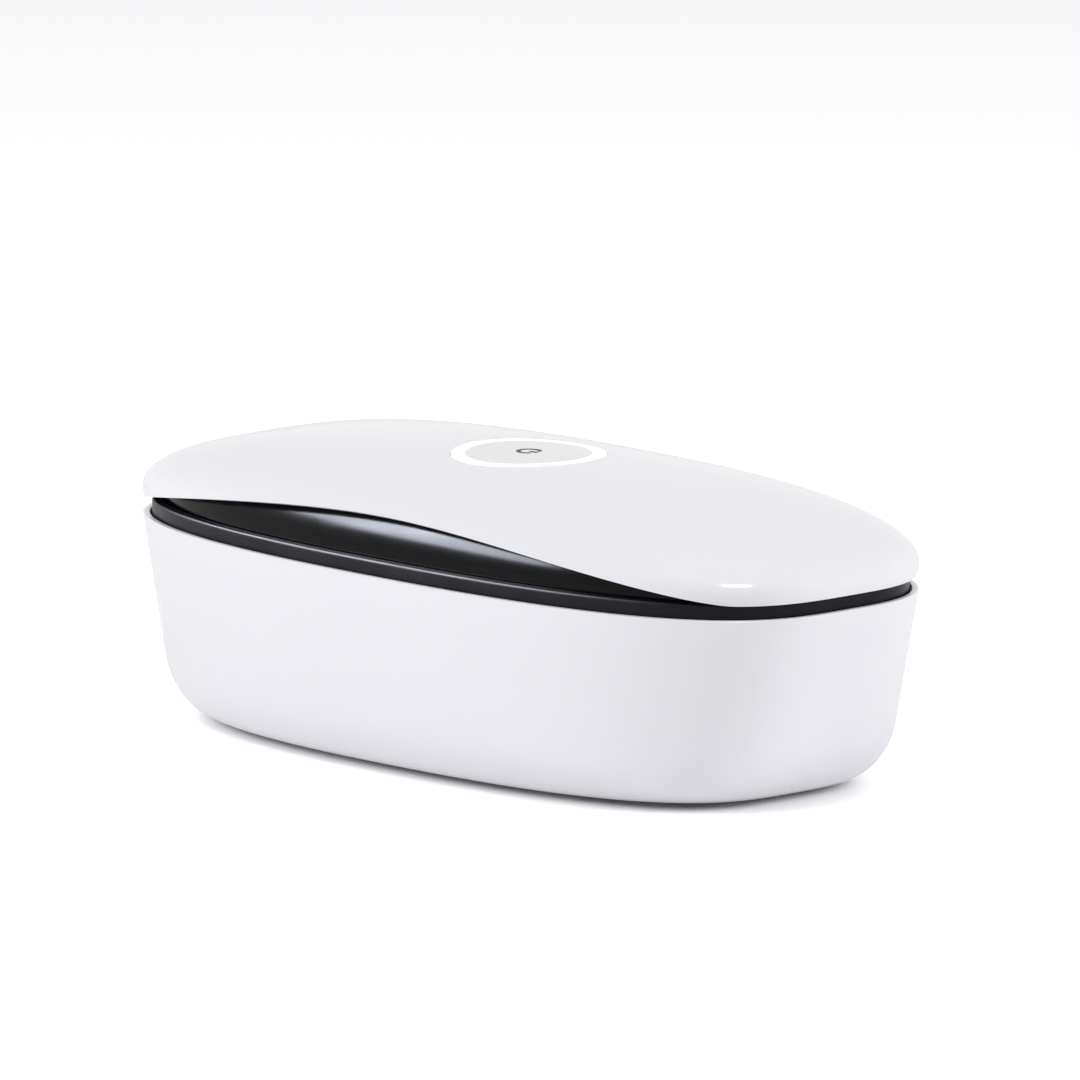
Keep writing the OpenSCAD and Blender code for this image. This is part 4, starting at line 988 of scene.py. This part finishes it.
def printed_band(mesh, path, wide):
    """A raised flat line of ink along a path of (x, y) points in mm on the dome."""
    cosine, sine = math.cos(sign_turn), math.sin(sign_turn)
    turned = [(x * cosine - y * sine, x * sine + y * cosine) for x, y in path]
    rows = []
    for k, (x, y) in enumerate(turned):
        ax, ay = turned[max(k - 1, 0)]
        bx, by = turned[min(k + 1, len(turned) - 1)]
        far = math.hypot(bx - ax, by - ay)
        nx, ny = -(by - ay) / far * wide / 2, (bx - ax) / far * wide / 2
        rows.append([mesh.verts.new(on_dome(x + side * nx, y + side * ny, lift)) for side, lift in (
            (-1, -sign_sunk), (-1, sign_thick), (1, sign_thick), (1, -sign_sunk))])
    for row, after in zip(rows, rows[1:]):
        for i in range(4):
            mesh.faces.new((row[i], row[(i + 1) % 4], after[(i + 1) % 4], after[i]))
    mesh.faces.new(list(reversed(rows[0])))
    mesh.faces.new(rows[-1])


sign = bmesh.new()
turns = [math.radians(sign_open + (360 - 2 * sign_open) * k / 48) for k in range(49)]
printed_band(sign, [(sign_r * math.sin(turn), sign_r * math.cos(turn)) for turn in turns], sign_line)
printed_band(sign, [(0, sign_r * (0.15 + 0.95 * k / 8)) for k in range(9)], sign_line)
pad_ink = plain_finish("black_pad_print_ink", "#161618", "#202023", 0.5, 1)
power_sign = finish_mesh("power_sign", sign, "button", pad_ink)


# Cover of the lid. A large dome of polished white ABS that tucks in under its widest line. Its lower edge
# rises in one long arch at the front. Four bosses inside take the screws. The back is cut for the hinge.
lid_edge_z = tub_h + 3.5
belly = 2.8
tuck = 0.6
edge_t = 1.1
tuck_turn = 20
arch_rise = 11
arch_l = 212
arch_power = 1.05
arch_ease = 0.03
first_full = 0.45
crown_rows = 10
outer_rows = 32
outer_crowding = 1.35
inner_rows = 14
inner_last = 0.95
cover_notch_top = 57.7
boss_places = [(sx * 62, sy * 26) for sx in (-1, 1) for sy in (-1, 1)]
boss_r = 3
boss_bore = 1.25
boss_low = flange_z + 0.3

arch_share = 1 - (2 * (case_l / 2 * unit_x) / arch_l) ** 2
arch_share = (arch_share + np.sqrt(arch_share ** 2 + arch_ease ** 2)) / 2
lid_edge = lid_edge_z + np.where(unit_y < 0, arch_rise * arch_share ** arch_power, 0)
rise = np.clip((np.maximum(lid_edge - belly_z, 0) / dome_h) ** (dome_height_power / 2), 0, 1)
edge_turn = np.where(lid_edge >= belly_z, np.degrees(np.arccos(rise)),
                     90 + tuck_turn * (belly_z - lid_edge) / belly)


def cover_ring(share, wall):
    """Ring of the cover a share of the way from its middle to its lower edge."""
    turn = share * edge_turn
    under = np.maximum(0, (turn - 90) / tuck_turn)
    over = np.radians(np.minimum(turn, 90))
    reach = np.sin(over) ** (2 / dome_plan_power)
    inset = wall + tuck * under ** 2
    height = belly_z + (dome_h - wall) * np.cos(over) ** (2 / dome_height_power) - belly * under
    half_x, half_y = (case_l / 2 - inset) * reach, (case_w / 2 - inset) * reach
    return np.stack([half_x * unit_x, half_y * unit_y, height], axis=1)


def crown_cover_ring(share, wall):
    """Ring between the round hole and the first full ring, kept on the dome."""
    turn = np.radians(column_turn)
    full = cover_ring(first_full, wall)
    x = hole_r * np.cos(turn) + share * (full[:, 0] - hole_r * np.cos(turn))
    y = hole_r * np.sin(turn) + share * (full[:, 1] - hole_r * np.sin(turn))
    return np.stack([x, y, dome_z(x, y, wall)], axis=1)


crown_shares = [k / crown_rows for k in range(crown_rows)]
outer_shares = [first_full + (1 - first_full) * (1 - (1 - k / outer_rows) ** outer_crowding)
                for k in range(outer_rows + 1)]
inner_shares = [inner_last - (inner_last - first_full) * k / inner_rows for k in range(inner_rows + 1)]
cover_rings = [crown_cover_ring(s, 0) for s in crown_shares] + [cover_ring(s, 0) for s in outer_shares]
lower_edge = len(cover_rings) - 1
cover_rings += [cover_ring(1, edge_t)] + [cover_ring(s, lid_wall) for s in inner_shares]
cover_rings += [crown_cover_ring(s, lid_wall) for s in reversed(crown_shares)]
cover_edges = {0: 0.25, lower_edge: 0.45, lower_edge + 1: 0.3, len(cover_rings) - 1: 0.2}
cover = skin("lid_cover_moulding", round_corners(cover_rings, cover_edges), "lid", polished_white_abs)
cut_out(cover, (-notch_half, notch_y, 0), (notch_half, case_w, cover_notch_top))
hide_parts("lid_cover")

for number, (x, y) in enumerate(boss_places):
    top = dome_at(x, y) - lid_wall / 2
    profile = [(boss_bore, boss_low), (boss_r, boss_low), (boss_r, top), (boss_bore, top),
               (boss_bore, boss_low)]
    boss = lathe("lid_cover_boss_" + str(number + 1), profile, (x, y), "lid", polished_white_abs, 48)


# Lid screws. The same pan-head screws, driven up through the panel into the cover's bosses. Their heads show
# under the panel when the lid is open.
lid_screw_low, lid_screw_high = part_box("lid_screws")
lid_seat = lid_screw_low.z / MM + head_height
pan_head_screws("lid_panel_screws", "lid_screws", "lid",
                [(x, y, lid_seat) for x, y in boss_places], lid_screw_high.z / MM - lid_seat)
